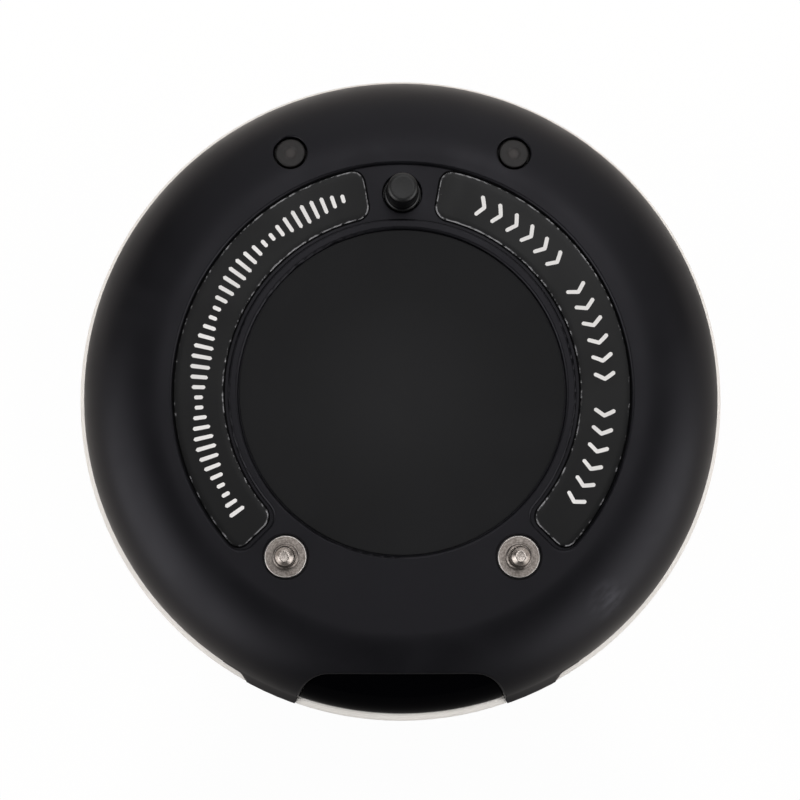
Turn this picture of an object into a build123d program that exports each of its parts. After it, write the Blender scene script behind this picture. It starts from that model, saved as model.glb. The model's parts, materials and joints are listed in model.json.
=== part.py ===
from build123d import *
import os
from math import asin, cos, degrees, hypot, radians, sin, sqrt

# Coaster pager, contact side up. Millimetres.
# The origin is on the table under the middle of the case. +Z is up, +X is right, +Y is back.
# The front notch is at -Y and the key is at +Y.

# Case outline
case_r = 52.5  # widest radius, on the white base
foot_stand = 0.6  # the feet hold the base this far off the table
base_floor = 1.8
base_wall = 2.2
base_h = 7.9  # underside of the base to the parting line
base_corner_w = 8.0  # width of the rounded lower edge
base_widest_h = 6.1  # height of the widest ring above the underside
base_draw_in = 0.85  # how far the base draws in from there to the parting line
cover_inset = 0.95  # how far the cover's rim stands inside the widest ring
cover_wall = 2.0
cover_band = 1.0  # straight band above the parting line
seam_bevel = 0.25  # on the base's rim, under the cover
shoulder_w = 13.55  # width of the cover's rounded shoulder

# Heights of what is stacked inside, from the floor up
foam_t = 0.5
battery_h = 5.0
battery_headroom = 0.7
board_t = 1.6
sleeve_w = 7.6  # the motor's rubber sleeve, as wide as high
sleeve_headroom = 1.7

# Tongue and hooks that join the base to the cover
tongue_wall = 0.7
tongue_h = 1.6
tongue_gap = 0.1
tongue_window_gap = 0.9
ledge_t = 1.0
hook_angle = 33.0  # from the front, each way
hook_sweep = 6.0
hook_reach = 0.5
hook_lift = 0.5  # underside of the hook above the parting line
hook_h = 0.8
hook_gap = 0.1

# Label groove, labels and centre disc
groove_edge_w = 1.55  # flat left outside the groove, before the shoulder
groove_w = 8.8
groove_half_angle = 135.6  # from the back, each way
groove_depth = 0.8
groove_corner_r = 2.5
label_inner_gap = 0.7
label_outer_gap = 0.3
label_start_angle = 10.25  # from the back
label_end_gap = 1.3  # degrees between the label and the groove's end
label_t = 0.25
label_corner_r = 2.0
disc_rim_w = 1.65  # raised rim between the groove and the disc's recess
disc_recess_depth = 1.0
disc_gap = 0.2
disc_t = 0.6
rim_round = 0.5
mouth_round = 0.25  # on the mouths of the contact recesses, key hole and screw wells

# Front notch, its lips and the glossy window in it
notch_half_w = 16.55
notch_depth = 7.0
notch_corner_r = 5.0
notch_round = 0.7
window_gap = 0.05
window_wall = 1.15
window_lap = 2.5
window_side_drop = 0.3
window_top_drop = 1.8
window_clearance = 0.15
lip_w = 8.55
lip_corner_r = 2.0
lip_side_step = 0.2
lip_proud = 0.95
lip_t = 1.2
lip_drop = 3.9
lip_bevel = 0.3
lip_gap = 0.1
flare_top = 4.5  # the shoulder starts to flare this far above the parting line
flare_band = 0.6  # height of the flare's outer edge
flare_sunk = 0.03  # how far the flare starts under the shoulder
flare_end_run = 1.5  # along the rim, from the lip's radius to the cover's
flare_end_round = 2.0
flare_near_round = 0.8  # beside the notch

# Posts on top, which the pager above takes in its sockets
post_h = 5.5
contact_out = 5.9  # from the disc's recess to the contact's axis
contact_angle = 35.2  # from the front, each way
contact_flange_d = 6.7
contact_flange_t = 0.7
contact_flange_gap = 0.2
contact_recess_depth = 0.8
contact_collar_d = 4.1
contact_collar_h = 0.7
contact_lip_t = 0.9
contact_thread_d = 5.0
contact_thread_gap = 0.05
contact_bottom_t = 1.4
contact_travel = 2.0
contact_tail_d = 1.2
contact_tail_gap = 0.2
pin_d = 3.2
pin_flat_d = 1.8
pin_chamfer_h = 0.7
pin_base_d = 3.8
pin_base_h = 1.9
pin_gap = 0.05
pin_rest_gap = 0.1
nut_across = 8.0
nut_t = 1.6
contact_spring_wire = 0.35
contact_spring_d = 3.35
contact_spring_turns = 6
contact_spring_room = 0.7  # left between the turns when the plunger is right down
spring_seat_gap = 0.03

# Key
key_in_groove = 4.15  # from the groove's inner wall to the key's axis
key_d = 5.25
key_hole_d = 6.1
key_bevel = 0.6
key_flange_d = 8.0
key_flange_t = 1.0
key_rest_gap = 0.1
key_stem_d = 3.6
key_travel = 0.8
switch_w = 6.0
switch_h = 3.5
switch_button_d = 3.5
switch_button_h = 1.4
switch_button_sunk = 0.4
switch_button_gap = 0.1
key_spring_wire = 0.5
key_spring_d = 5.7
key_spring_turns = 4

# Sockets in the underside
socket_r = 3.5
socket_wall = 1.2
contact_squeeze = 0.8
key_squeeze = 0.5
dock_head_d = 6.0
dock_head_t = 0.6
dock_shank_d = 2.5
dock_gap = 0.05

# Case screws, their wells and the plugs over them
screw_out = 4.25  # from the edge of the flat to the screw's axis
screw_angle = 25.0  # from the back, each way
well_d = 5.4
well_wall = 1.2
well_end_drop = 1.4  # the well runs this far below the board
screw_seat_t = 1.8
screw_d = 2.5
screw_gap = 0.1
screw_head_d = 4.4
screw_head_h = 1.8
screw_len = 6.0
screw_tip_room = 0.4
screw_boss_d = 6.4
cross_w = 0.8
cross_depth = 0.9
plug_d = 4.7
plug_h = 3.5
plug_bead_d = 5.36
plug_bead_h = 0.8
plug_bead_lift = 0.6
plug_sink = 0.25
plug_dimple_d = 1.8
plug_dimple_depth = 0.3

# Circuit board, its posts and screws
board_edge_gap = 3.75
board_hole_gap = 0.5
board_post_inset = 7.0
board_post_d = 6.0
board_screw_d = 2.0
board_screw_gap = 0.1
board_screw_head_d = 3.8
board_screw_head_h = 1.3
board_screw_len = 5.0
led_count = 12
led_inset = 2.5
led_start_angle = 15.0
led_w = 3.5
led_depth = 2.8
led_h = 1.1

# Battery
battery_l = 34.0
battery_w = 30.0
battery_round = 1.5
battery_side_gap = 1.5
rib_t = 1.0
rib_h = 2.0
rib_gap = 0.3
plug_block_l = 5.0
plug_block_w = 7.0
plug_block_h = 2.6
plug_block_gap = 4.5
plug_block_y = -2.0
lead_d = 1.0
lead_pitch = 2.2
lead_bend = 1.0
lead_run = 1.9
lead_lift = 1.3

# Vibration motor, lying along Y
motor_inset = 15.0  # from the board's left edge
motor_front_y = 5.0
motor_d = 6.0
motor_len = 16.0
sleeve_len = 12.0
sleeve_setback = 2.0
sleeve_gap = 0.02
shaft_d = 1.0
shaft_gap = 0.05
shaft_out = 5.6
shaft_in = 6.0
shaft_bore_depth = 8.0
weight_r = 3.2
weight_len = 4.8
weight_gap = 0.6
weight_cut_h = 1.0
weight_bore_gap = 0.02
motor_lead_d = 0.8
motor_lead_pitch = 2.0
motor_lead_run = 2.6
motor_lead_bend = 1.4

# Other parts on the board
buzzer_inset = 18.0  # from the board's right edge
buzzer_y = 12.0
buzzer_d = 12.0
buzzer_h = 5.5
buzzer_port_d = 2.0
buzzer_port_depth = 1.5
radio_x = 4.0
radio_y = 12.0
radio_l = 18.0
radio_w = 12.0
radio_base_t = 0.8
radio_can_h = 1.6
radio_can_inset = 1.2
chip_x = -6.0
chip_y = -6.0
chip_w = 10.0
chip_h = 1.4
chip_round = 0.3
rod_x = 10.0
rod_y = -14.0
rod_d = 5.0
rod_len = 24.0
winding_d = 6.2
winding_len = 14.0
winding_gap = 0.02

# Rubber feet
foot_d = 9.0
foot_h = 1.2
foot_round = 0.3
foot_gap = 0.15
foot_inset = 14.5  # from the widest edge of the case
foot_angles = (50.0, 130.0, 210.0, 330.0)

# Heights worked out from the sizes above
under_z = foot_stand
floor_z = under_z + base_floor
widest_z = under_z + base_widest_h
parting_z = under_z + base_h
band_z = parting_z + cover_band
battery_z = floor_z + foam_t
board_z = battery_z + battery_h + battery_headroom
board_top_z = board_z + board_t
ceiling_z = board_top_z + sleeve_w + sleeve_headroom
plateau_z = ceiling_z + cover_wall
post_top_z = plateau_z + post_h
well_end_z = board_z - well_end_drop
screw_seat_z = well_end_z + screw_seat_t
contact_seat_z = plateau_z - contact_recess_depth
contact_flange_z = contact_seat_z + contact_flange_t
contact_top_z = contact_flange_z + contact_collar_h
pin_base_top_z = contact_top_z - contact_lip_t - pin_rest_gap
pin_base_z = pin_base_top_z - pin_base_h
contact_solid_h = contact_spring_turns * contact_spring_wire
contact_bore_z = pin_base_z - contact_travel - contact_solid_h - contact_spring_room
contact_bottom_z = contact_bore_z - contact_bottom_t
dock_face_z = post_h - contact_squeeze
contact_socket_z = dock_face_z + dock_head_t
key_socket_z = post_h - key_squeeze
key_flange_z = ceiling_z - key_rest_gap - key_flange_t
switch_top_z = board_top_z + switch_h
key_stem_z = switch_top_z + switch_button_h
motor_z = board_top_z + sleeve_w / 2

# Radii worked out from the sizes above
cover_r = case_r - cover_inset
plateau_r = cover_r - shoulder_w
base_flat_r = case_r - base_corner_w
tongue_r = cover_r - cover_wall - tongue_gap
tongue_inner_r = tongue_r - tongue_wall
groove_outer_r = plateau_r - groove_edge_w
groove_inner_r = groove_outer_r - groove_w
disc_recess_r = groove_inner_r - disc_rim_w
contact_ring_r = disc_recess_r + contact_out
key_y = groove_inner_r + key_in_groove
screw_ring_r = plateau_r + screw_out
foot_ring_r = case_r - foot_inset
board_r = tongue_inner_r - board_edge_gap
motor_x = motor_inset - board_r
buzzer_x = board_r - buzzer_inset
board_post_ring_r = board_r - board_post_inset
led_ring_r = board_r - led_inset
lip_r = cover_r + lip_proud
lip_inner_r = lip_r - lip_t
well_outer_r = well_d / 2 + well_wall
board_screw_hole_r = board_screw_d / 2 + board_screw_gap
contact_bore_r = pin_base_d / 2 + pin_gap
socket_boss_r = socket_r + socket_wall

# Angles, anticlockwise from +X
back = 90.0
front = 270.0
lip_start = degrees(asin((notch_half_w + lip_side_step) / lip_inner_r))
lip_middle = lip_start + degrees(asin(lip_w / 2 / lip_inner_r))
lip_ring_sweep = 20.0  # wider than the lip, which is cut from it
flare_far = lip_start + degrees(lip_w / lip_r)
flare_end = flare_far + degrees(flare_end_run / cover_r)

touch = 0.001  # how near a point lies to a surface that it is on
sides = {"left": -1, "right": 1}
pieces = []


def spot(radius, angle):
    """Point in plan at a radius and an angle from +X."""
    return (radius * cos(radians(angle)), radius * sin(radians(angle)))


def reach(point):
    """Distance of a point from the middle axis."""
    return hypot(point.X, point.Y)


def dome_height(radius):
    """Height of the cover's outer curve at a radius on its shoulder."""
    share = (radius - plateau_r) / shoulder_w
    return band_z + (plateau_z - band_z) * sqrt(1 - share**2)


def dome_radius(height):
    """Radius of the cover's outer curve at a height."""
    share = max(height - band_z, 0) / (plateau_z - band_z)
    return plateau_r + shoulder_w * sqrt(1 - share**2)


def on_outside(point):
    """True for a point on the cover's shoulder or on the band under it."""
    return reach(point) > dome_radius(point.Z) - touch


def keep(piece, name):
    """Label a finished piece and put it on the list that is written out."""
    piece.label = name
    pieces.append(piece)


def dome_section(side_inset, top_inset):
    """Half section under the cover's curve, drawn in at the side and at the top."""
    side = shoulder_w - side_inset
    rise = plateau_z - band_z - top_inset
    with BuildSketch(Plane.XZ) as section:
        with BuildLine():
            shoulder = EllipticalCenterArc((plateau_r, band_z), side, rise, 0, arc_size=90)
            Polyline(
                shoulder @ 1,
                (0, band_z + rise),
                (0, parting_z),
                (plateau_r + side, parting_z),
                shoulder @ 0,
            )
        make_face()
    return section.sketch


def base_section():
    """Half section of the white base, with the tongue on its rim."""
    middle = (base_flat_r, widest_z)
    rim_r = case_r - base_draw_in
    bevel_low = (rim_r, parting_z - seam_bevel)
    inner_w = base_corner_w - base_wall
    inner_h = base_widest_h - base_floor
    with BuildSketch(Plane.XZ) as section:
        with BuildLine():
            outside = EllipticalCenterArc(middle, base_corner_w, base_widest_h, 270, arc_size=90)
            TangentArc(outside @ 1, bevel_low, tangent=(0, 1))
            inside = EllipticalCenterArc(middle, inner_w, inner_h, 270, arc_size=90)
            Polyline(outside @ 0, (0, under_z), (0, floor_z), inside @ 0)
            Polyline(
                inside @ 1,
                (tongue_inner_r, parting_z - ledge_t),
                (tongue_inner_r, parting_z + tongue_h),
                (tongue_r, parting_z + tongue_h),
                (tongue_r, parting_z),
                (rim_r - seam_bevel, parting_z),
                bevel_low,
            )
        make_face()
    return section.sketch


def ring_piece(points, middle, sweep):
    """Part of a ring: a section in radius and height turned about +Z, centred on an angle."""
    start = radians(middle - sweep / 2)
    plane = Plane((0, 0, 0), x_dir=(cos(start), sin(start), 0), z_dir=(sin(start), -cos(start), 0))
    with BuildPart() as piece:
        with BuildSketch(plane):
            with BuildLine():
                Polyline(*points, close=True)
            make_face()
        revolve(axis=Axis.Z, revolution_arc=sweep)
    return piece.part


def lip_piece(points, side, grow):
    """Lip beside the notch: part of a ring, cut to a plate with rounded lower corners."""
    angle = radians(front + side * lip_middle)
    low_z = parting_z - lip_drop - grow
    plate_h = 2 * lip_drop
    outward = Plane(
        (0, 0, low_z + plate_h / 2),
        x_dir=(-sin(angle), cos(angle), 0),
        z_dir=(cos(angle), sin(angle), 0),
    )
    with BuildPart() as lip:
        add(ring_piece(points, front + side * lip_middle, lip_ring_sweep))
        with BuildSketch(outward):
            RectangleRounded(lip_w + 2 * grow, plate_h, lip_corner_r + grow)
        extrude(amount=2 * case_r, mode=Mode.INTERSECT)
    return lip.part


def lip_flare(side):
    """Flare of the shoulder over a lip. In plan its far end runs into the rim in a curve."""
    near_x = side * (notch_half_w + lip_side_step)
    near_angle = degrees(asin((notch_half_w + lip_side_step) / lip_r))
    top_z = parting_z + flare_top
    top_r = dome_radius(top_z)
    root_r = cover_r - cover_wall / 2
    lean = (shoulder_w / (plateau_z - band_z)) ** 2 * (top_z - band_z) / (top_r - plateau_r)
    start = radians(front + side * lip_middle - lip_ring_sweep / 2)
    plane = Plane((0, 0, 0), x_dir=(cos(start), sin(start), 0), z_dir=(sin(start), -cos(start), 0))
    with BuildPart() as flare:
        with BuildSketch(plane):
            with BuildLine():
                skirt_top = (top_r - flare_sunk, top_z)
                skirt = TangentArc(skirt_top, (lip_r, parting_z + flare_band), tangent=(lean, -1))
                Polyline(
                    skirt @ 1,
                    (lip_r, parting_z),
                    (root_r, parting_z),
                    (root_r, top_z),
                    skirt @ 0,
                )
            make_face()
        revolve(axis=Axis.Z, revolution_arc=lip_ring_sweep)
        with BuildSketch() as plan:
            with BuildLine():
                near = front + side * near_angle
                outer = CenterArc((0, 0), lip_r, near, side * (flare_far - near_angle))
                rim = CenterArc((0, 0), cover_r - flare_sunk, front + side * flare_end, side * 6)
                Line(outer @ 1, rim @ 0)
                Polyline(rim @ 1, (near_x, 0), outer @ 0)
            make_face()
            fillet(plan.vertices().sort_by_distance(outer @ 0)[0], flare_near_round)
            far_corners = [plan.vertices().sort_by_distance(at)[0] for at in (outer @ 1, rim @ 0)]
            fillet(far_corners, flare_end_round)
        extrude(amount=plateau_z, mode=Mode.INTERSECT)
    return flare.part


def arc_strip(inner_r, outer_r, start, sweep, corner_r, height):
    """Flat arc strip with rounded corners."""
    with BuildSketch(Plane.XY.offset(height)) as strip:
        with BuildLine():
            outer = CenterArc((0, 0), outer_r, start, sweep)
            inner = CenterArc((0, 0), inner_r, start, sweep)
            Line(outer @ 0, inner @ 0)
            Line(outer @ 1, inner @ 1)
        make_face()
        fillet(strip.vertices(), corner_r)
    return strip.sketch


def notch_outline(grow):
    """Plan of the notch grown on its three sides. It runs out well past the rim."""
    length = 4 * notch_depth
    with BuildSketch(Plane.XY.offset(parting_z)) as outline:
        with Locations((0, notch_depth + grow - cover_r - length / 2)):
            RectangleRounded(2 * (notch_half_w + grow), length, notch_corner_r + grow)
    return outline.sketch


def upright(spots, radius, low_z, high_z, mode=Mode.ADD):
    """Add a round upright piece between two heights at each spot, or cut it."""
    with Locations(*[(x, y, low_z) for x, y in spots]):
        Cylinder(
            radius,
            high_z - low_z,
            align=(Align.CENTER, Align.CENTER, Align.MIN),
            mode=mode,
        )


def spring_coil(middle, ends, coil_d, wire_d, turns):
    """Round wire spring that stands between two heights, given as its ends."""
    low_z, high_z = ends
    start_z = low_z + wire_d / 2 + spring_seat_gap
    rise = high_z - low_z - wire_d - 2 * spring_seat_gap
    coil_r = (coil_d - wire_d) / 2
    with BuildPart() as coil:
        with BuildLine():
            wire = Helix(rise / turns, rise, coil_r, center=(*middle, start_z))
        with BuildSketch(Plane(wire @ 0, z_dir=wire % 0)):
            Circle(wire_d / 2)
        sweep(path=wire, is_frenet=True)
    return coil.part


def wire_along(points, bend_r, wire_d):
    """Round wire along straight runs joined by bends."""
    with BuildPart() as wire:
        with BuildLine():
            route = FilletPolyline(*points, radius=bend_r)
        with BuildSketch(Plane(route @ 0, z_dir=route % 0)):
            Circle(wire_d / 2)
        sweep(path=route)
    return wire.part


def plane_towards_front(x, y, z):
    """Upright plane that faces -Y, with its own up along +Z."""
    return Plane((x, y, z), x_dir=(1, 0, 0), z_dir=(0, -1, 0))


contact_spots = [spot(contact_ring_r, front + side * contact_angle) for side in sides.values()]
screw_spots = [spot(screw_ring_r, back - side * screw_angle) for side in sides.values()]
key_spot = (0, key_y)
board_post_spots = [spot(board_post_ring_r, angle) for angle in (0, 180, front)]
foot_spots = [spot(foot_ring_r, angle) for angle in foot_angles]


# Room inside the cover, around the two screw wells and with pockets for the hooks
hook_low_z = parting_z + hook_lift
with BuildPart() as cover_room:
    revolve(dome_section(cover_wall, cover_wall), axis=Axis.Z)
    upright(screw_spots, well_outer_r, well_end_z, plateau_z, Mode.SUBTRACT)
    for side in sides.values():
        add(
            ring_piece(
                [
                    (tongue_r - hook_gap, hook_low_z - hook_gap),
                    (tongue_r + hook_reach + hook_gap, hook_low_z - hook_gap),
                    (tongue_r + hook_reach + hook_gap, hook_low_z + hook_h + hook_gap),
                    (tongue_r - hook_gap, hook_low_z + hook_h + hook_gap),
                ],
                front + side * hook_angle,
                hook_sweep + 1,
            )
        )

# Top cover
with BuildPart() as top_cover:
    revolve(dome_section(0, 0), axis=Axis.Z)
    add(cover_room.part, mode=Mode.SUBTRACT)
    groove = arc_strip(
        groove_inner_r,
        groove_outer_r,
        back - groove_half_angle,
        2 * groove_half_angle,
        groove_corner_r,
        plateau_z - groove_depth,
    )
    extrude(groove, amount=groove_depth, mode=Mode.SUBTRACT)
    with Locations((0, 0, plateau_z)):
        Hole(disc_recess_r, depth=disc_recess_depth)
    flat_edges = top_cover.edges().filter_by_position(Axis.Z, plateau_z, plateau_z)
    groove_reach = (groove_outer_r + plateau_r) / 2
    fillet(flat_edges.filter_by(lambda edge: reach(edge @ 0.3) < groove_reach), rim_round)
    with Locations(*[(x, y, plateau_z) for x, y in contact_spots]):
        CounterBoreHole(
            radius=contact_thread_d / 2 + contact_thread_gap,
            counter_bore_radius=contact_flange_d / 2 + contact_flange_gap,
            counter_bore_depth=contact_recess_depth,
            depth=cover_wall,
        )
    recess_edges = top_cover.edges(Select.LAST).filter_by_position(Axis.Z, plateau_z, plateau_z)
    fillet(recess_edges, mouth_round)
    with Locations((0, key_y, plateau_z)):
        Hole(key_hole_d / 2, depth=cover_wall)
    groove_floor_z = plateau_z - groove_depth
    hole_edges = top_cover.edges(Select.LAST).filter_by_position(Axis.Z, groove_floor_z, groove_floor_z)
    fillet(hole_edges, mouth_round)
    upright(screw_spots, well_outer_r, well_end_z, board_top_z)
    with Locations(*[(x, y, plateau_z) for x, y in screw_spots]):
        CounterBoreHole(
            radius=screw_d / 2 + screw_gap,
            counter_bore_radius=well_d / 2,
            counter_bore_depth=plateau_z - screw_seat_z,
            depth=plateau_z - well_end_z,
        )
    well_edges = top_cover.edges(Select.LAST).filter_by(lambda edge: on_outside(edge @ 0.5))
    fillet(well_edges, mouth_round)
    extrude(notch_outline(0), amount=plateau_z - parting_z, mode=Mode.SUBTRACT)
    notch_edges = top_cover.edges(Select.LAST).filter_by(lambda edge: on_outside(edge @ 0.5))
    fillet(notch_edges, notch_round)
    for side in sides.values():
        lip_section = [
            (lip_inner_r, parting_z - lip_drop),
            (lip_r - lip_bevel, parting_z - lip_drop),
            (lip_r, parting_z - lip_drop + lip_bevel),
            (lip_r, parting_z + flare_band / 2),
            (lip_inner_r, parting_z + flare_band / 2),
        ]
        add(lip_piece(lip_section, side, 0))
        add(lip_flare(side))
keep(top_cover.part, "top_cover")

# Glossy window: a pad that fills the notch, on a flange behind the cover's wall
window_outer = cover_wall + window_gap
window_inner = window_outer + window_wall
with BuildPart() as window_flange:
    revolve(dome_section(window_outer, window_outer), axis=Axis.Z)
    extrude(notch_outline(window_lap), amount=plateau_z, mode=Mode.INTERSECT)
with BuildPart() as front_window:
    revolve(dome_section(window_side_drop, window_top_drop), axis=Axis.Z)
    extrude(notch_outline(-window_clearance), amount=plateau_z, mode=Mode.INTERSECT)
    add(window_flange.part)
    revolve(dome_section(window_inner, window_inner), axis=Axis.Z, mode=Mode.SUBTRACT)
keep(front_window.part, "front_window")

# White base with its sockets, bosses, board posts and battery ribs
battery_front_y = contact_spots[0][1] + socket_boss_r + battery_side_gap
battery_y = battery_front_y + battery_w / 2
tongue_gap_half_w = notch_half_w + window_lap + tongue_window_gap
with BuildPart() as base_shell:
    revolve(base_section(), axis=Axis.Z)
    with Locations((0, 0, parting_z)):
        Box(
            2 * tongue_gap_half_w,
            case_r,
            tongue_h,
            align=(Align.CENTER, Align.MAX, Align.MIN),
            mode=Mode.SUBTRACT,
        )
    for side in sides.values():
        add(
            ring_piece(
                [
                    (tongue_inner_r, hook_low_z),
                    (tongue_r + hook_reach, hook_low_z),
                    (tongue_r, hook_low_z + hook_h),
                    (tongue_inner_r, hook_low_z + hook_h),
                ],
                front + side * hook_angle,
                hook_sweep,
            )
        )
        lip_room = [
            (lip_inner_r - lip_gap, parting_z - lip_drop - lip_gap),
            (case_r + lip_gap, parting_z - lip_drop - lip_gap),
            (case_r + lip_gap, parting_z + lip_gap),
            (lip_inner_r - lip_gap, parting_z + lip_gap),
        ]
        add(lip_piece(lip_room, side, lip_gap), mode=Mode.SUBTRACT)
    head_hole_r = dock_head_d / 2 + dock_gap
    shank_hole_r = dock_shank_d / 2 + dock_gap
    upright(contact_spots, socket_boss_r, floor_z, contact_socket_z + socket_wall)
    upright(contact_spots, socket_r, under_z, dock_face_z, Mode.SUBTRACT)
    upright(contact_spots, head_hole_r, dock_face_z, contact_socket_z, Mode.SUBTRACT)
    upright(contact_spots, shank_hole_r, contact_socket_z, board_z, Mode.SUBTRACT)
    upright([key_spot], socket_boss_r, floor_z, key_socket_z + socket_wall)
    upright([key_spot], socket_r, under_z, key_socket_z, Mode.SUBTRACT)
    screw_hole_z = screw_seat_z - screw_len - screw_tip_room
    board_hole_z = board_top_z - board_screw_len - screw_tip_room
    upright(screw_spots, screw_boss_d / 2, floor_z, well_end_z)
    upright(screw_spots, screw_d / 2 + screw_gap, screw_hole_z, well_end_z, Mode.SUBTRACT)
    upright(board_post_spots, board_post_d / 2, floor_z, board_z)
    upright(board_post_spots, board_screw_hole_r, board_hole_z, board_z, Mode.SUBTRACT)
    with BuildSketch(Plane.XY.offset(floor_z)):
        with Locations((0, battery_y)):
            rib_inner_l = battery_l + 2 * rib_gap
            rib_inner_w = battery_w + 2 * rib_gap
            Rectangle(rib_inner_l + 2 * rib_t, rib_inner_w + 2 * rib_t)
            Rectangle(rib_inner_l, rib_inner_w, mode=Mode.SUBTRACT)
    extrude(amount=rib_h)
    upright(foot_spots, foot_d / 2 + foot_gap, under_z, foot_h, Mode.SUBTRACT)
keep(base_shell.part, "base_shell")

# Rubber feet
with BuildPart() as rubber_feet:
    with BuildSketch():
        with Locations(*foot_spots):
            Circle(foot_d / 2)
    extrude(amount=foot_h)
    fillet(rubber_feet.edges().filter_by_position(Axis.Z, 0, 0), foot_round)
keep(rubber_feet.part, "rubber_feet")

# Centre disc
with BuildPart() as centre_disc:
    with BuildSketch(Plane.XY.offset(plateau_z - disc_recess_depth)):
        Circle(disc_recess_r - disc_gap)
    extrude(amount=disc_t)
keep(centre_disc.part, "centre_disc")

# Arc labels in the groove, one each side of the key
label_sweep = groove_half_angle - label_end_gap - label_start_angle
for name, side in sides.items():
    label_middle = back - side * (label_start_angle + label_sweep / 2)
    with BuildPart() as label:
        strip = arc_strip(
            groove_inner_r + label_inner_gap,
            groove_outer_r - label_outer_gap,
            label_middle - label_sweep / 2,
            label_sweep,
            label_corner_r,
            plateau_z - groove_depth,
        )
        extrude(strip, amount=label_t)
    keep(label.part, f"label_{name}")

# Spring contacts: barrel, plunger and spring on each side
contact_lip_z = contact_top_z - contact_lip_t
for name, middle in zip(sides, contact_spots):
    with BuildPart() as contact_barrel:
        upright([middle], contact_tail_d / 2, board_z, contact_bottom_z)
        upright([middle], contact_thread_d / 2, contact_bottom_z, contact_seat_z)
        upright([middle], contact_flange_d / 2, contact_seat_z, contact_flange_z)
        upright([middle], contact_collar_d / 2, contact_flange_z, contact_top_z)
        upright([middle], contact_bore_r, contact_bore_z, contact_lip_z, Mode.SUBTRACT)
        upright([middle], pin_d / 2 + pin_gap, contact_lip_z, contact_top_z, Mode.SUBTRACT)
    keep(contact_barrel.part, f"contact_barrel_{name}")

    with BuildPart() as contact_pin:
        upright([middle], pin_base_d / 2, pin_base_z, pin_base_top_z)
        upright([middle], pin_d / 2, pin_base_top_z, post_top_z)
        tip = contact_pin.edges().filter_by_position(Axis.Z, post_top_z, post_top_z)
        chamfer(tip, pin_chamfer_h, (pin_d - pin_flat_d) / 2)
    keep(contact_pin.part, f"contact_pin_{name}")

    spring_ends = (contact_bore_z, pin_base_z)
    coil = spring_coil(
        middle, spring_ends, contact_spring_d, contact_spring_wire, contact_spring_turns
    )
    keep(coil, f"contact_spring_{name}")

# Nuts that clamp the contacts under the cover
with BuildPart() as contact_nuts:
    with BuildSketch(Plane.XY.offset(ceiling_z - nut_t)):
        with Locations(*contact_spots):
            RegularPolygon(nut_across / 2, 6, major_radius=False)
            Circle(contact_thread_d / 2 + contact_thread_gap, mode=Mode.SUBTRACT)
    extrude(amount=nut_t)
keep(contact_nuts.part, "contact_nuts")

# Rivets that meet the contacts of a pager below
for name, middle in zip(sides, contact_spots):
    with BuildPart() as dock_contact:
        upright([middle], dock_head_d / 2, dock_face_z, contact_socket_z)
        upright([middle], dock_shank_d / 2, contact_socket_z, board_z)
    keep(dock_contact.part, f"dock_contact_{name}")

# Key cap, its spring and the switch under it
key_shoulder_z = key_flange_z + key_flange_t
with BuildPart() as key_cap:
    upright([key_spot], key_stem_d / 2, key_stem_z, key_flange_z)
    upright([key_spot], key_flange_d / 2, key_flange_z, key_shoulder_z)
    upright([key_spot], key_d / 2, key_shoulder_z, post_top_z)
    fillet(key_cap.edges().filter_by_position(Axis.Z, post_top_z, post_top_z), key_bevel)
keep(key_cap.part, "key_cap")

spring_ends = (switch_top_z, key_flange_z)
coil = spring_coil(key_spot, spring_ends, key_spring_d, key_spring_wire, key_spring_turns)
keep(coil, "key_spring")

button_low_z = switch_top_z - switch_button_sunk
with BuildPart() as key_switch_body:
    with BuildSketch(Plane.XY.offset(board_top_z)):
        with Locations(key_spot):
            Rectangle(switch_w, switch_w)
    extrude(amount=switch_h)
    with Locations((0, key_y, switch_top_z)):
        Hole(
            switch_button_d / 2 + switch_button_gap,
            depth=switch_button_sunk + key_travel + switch_button_gap,
        )
keep(key_switch_body.part, "key_switch_body")

with BuildPart() as key_switch_plunger:
    upright([key_spot], switch_button_d / 2, button_low_z, key_stem_z)
keep(key_switch_plunger.part, "key_switch_plunger")

# Case screws and the plugs over them
screw_top_z = screw_seat_z + screw_head_h
with BuildPart() as case_screws:
    upright(screw_spots, screw_d / 2, screw_seat_z - screw_len, screw_seat_z)
    upright(screw_spots, screw_head_d / 2, screw_seat_z, screw_top_z)
    with BuildSketch(Plane.XY.offset(screw_top_z)):
        with Locations(*screw_spots):
            Rectangle(screw_d, cross_w)
            Rectangle(cross_w, screw_d)
    extrude(amount=-cross_depth, mode=Mode.SUBTRACT)
keep(case_screws.part, "case_screws")

plug_top_z = dome_height(screw_ring_r) - plug_sink
plug_low_z = plug_top_z - plug_h
bead_z = plug_low_z + plug_bead_lift
dimple_z = plug_top_z - plug_dimple_depth
for name, middle in zip(sides, screw_spots):
    with BuildPart() as plug:
        upright([middle], plug_d / 2, plug_low_z, plateau_z)
        upright([middle], plug_bead_d / 2, bead_z, bead_z + plug_bead_h)
        revolve(dome_section(plug_sink, plug_sink), axis=Axis.Z, mode=Mode.INTERSECT)
        upright([middle], plug_dimple_d / 2, dimple_z, plateau_z, Mode.SUBTRACT)
    keep(plug.part, f"plug_{name}")

# Circuit board, its screws and the lamps under it
with BuildPart() as circuit_board:
    with BuildSketch(Plane.XY.offset(board_z)):
        Circle(board_r)
        with Locations(*screw_spots):
            Circle(well_outer_r + board_hole_gap, mode=Mode.SUBTRACT)
        with Locations(*contact_spots):
            Circle(contact_tail_d / 2 + contact_tail_gap, mode=Mode.SUBTRACT)
        with Locations(*board_post_spots):
            Circle(board_screw_hole_r, mode=Mode.SUBTRACT)
    extrude(amount=board_t)
keep(circuit_board.part, "circuit_board")

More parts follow.
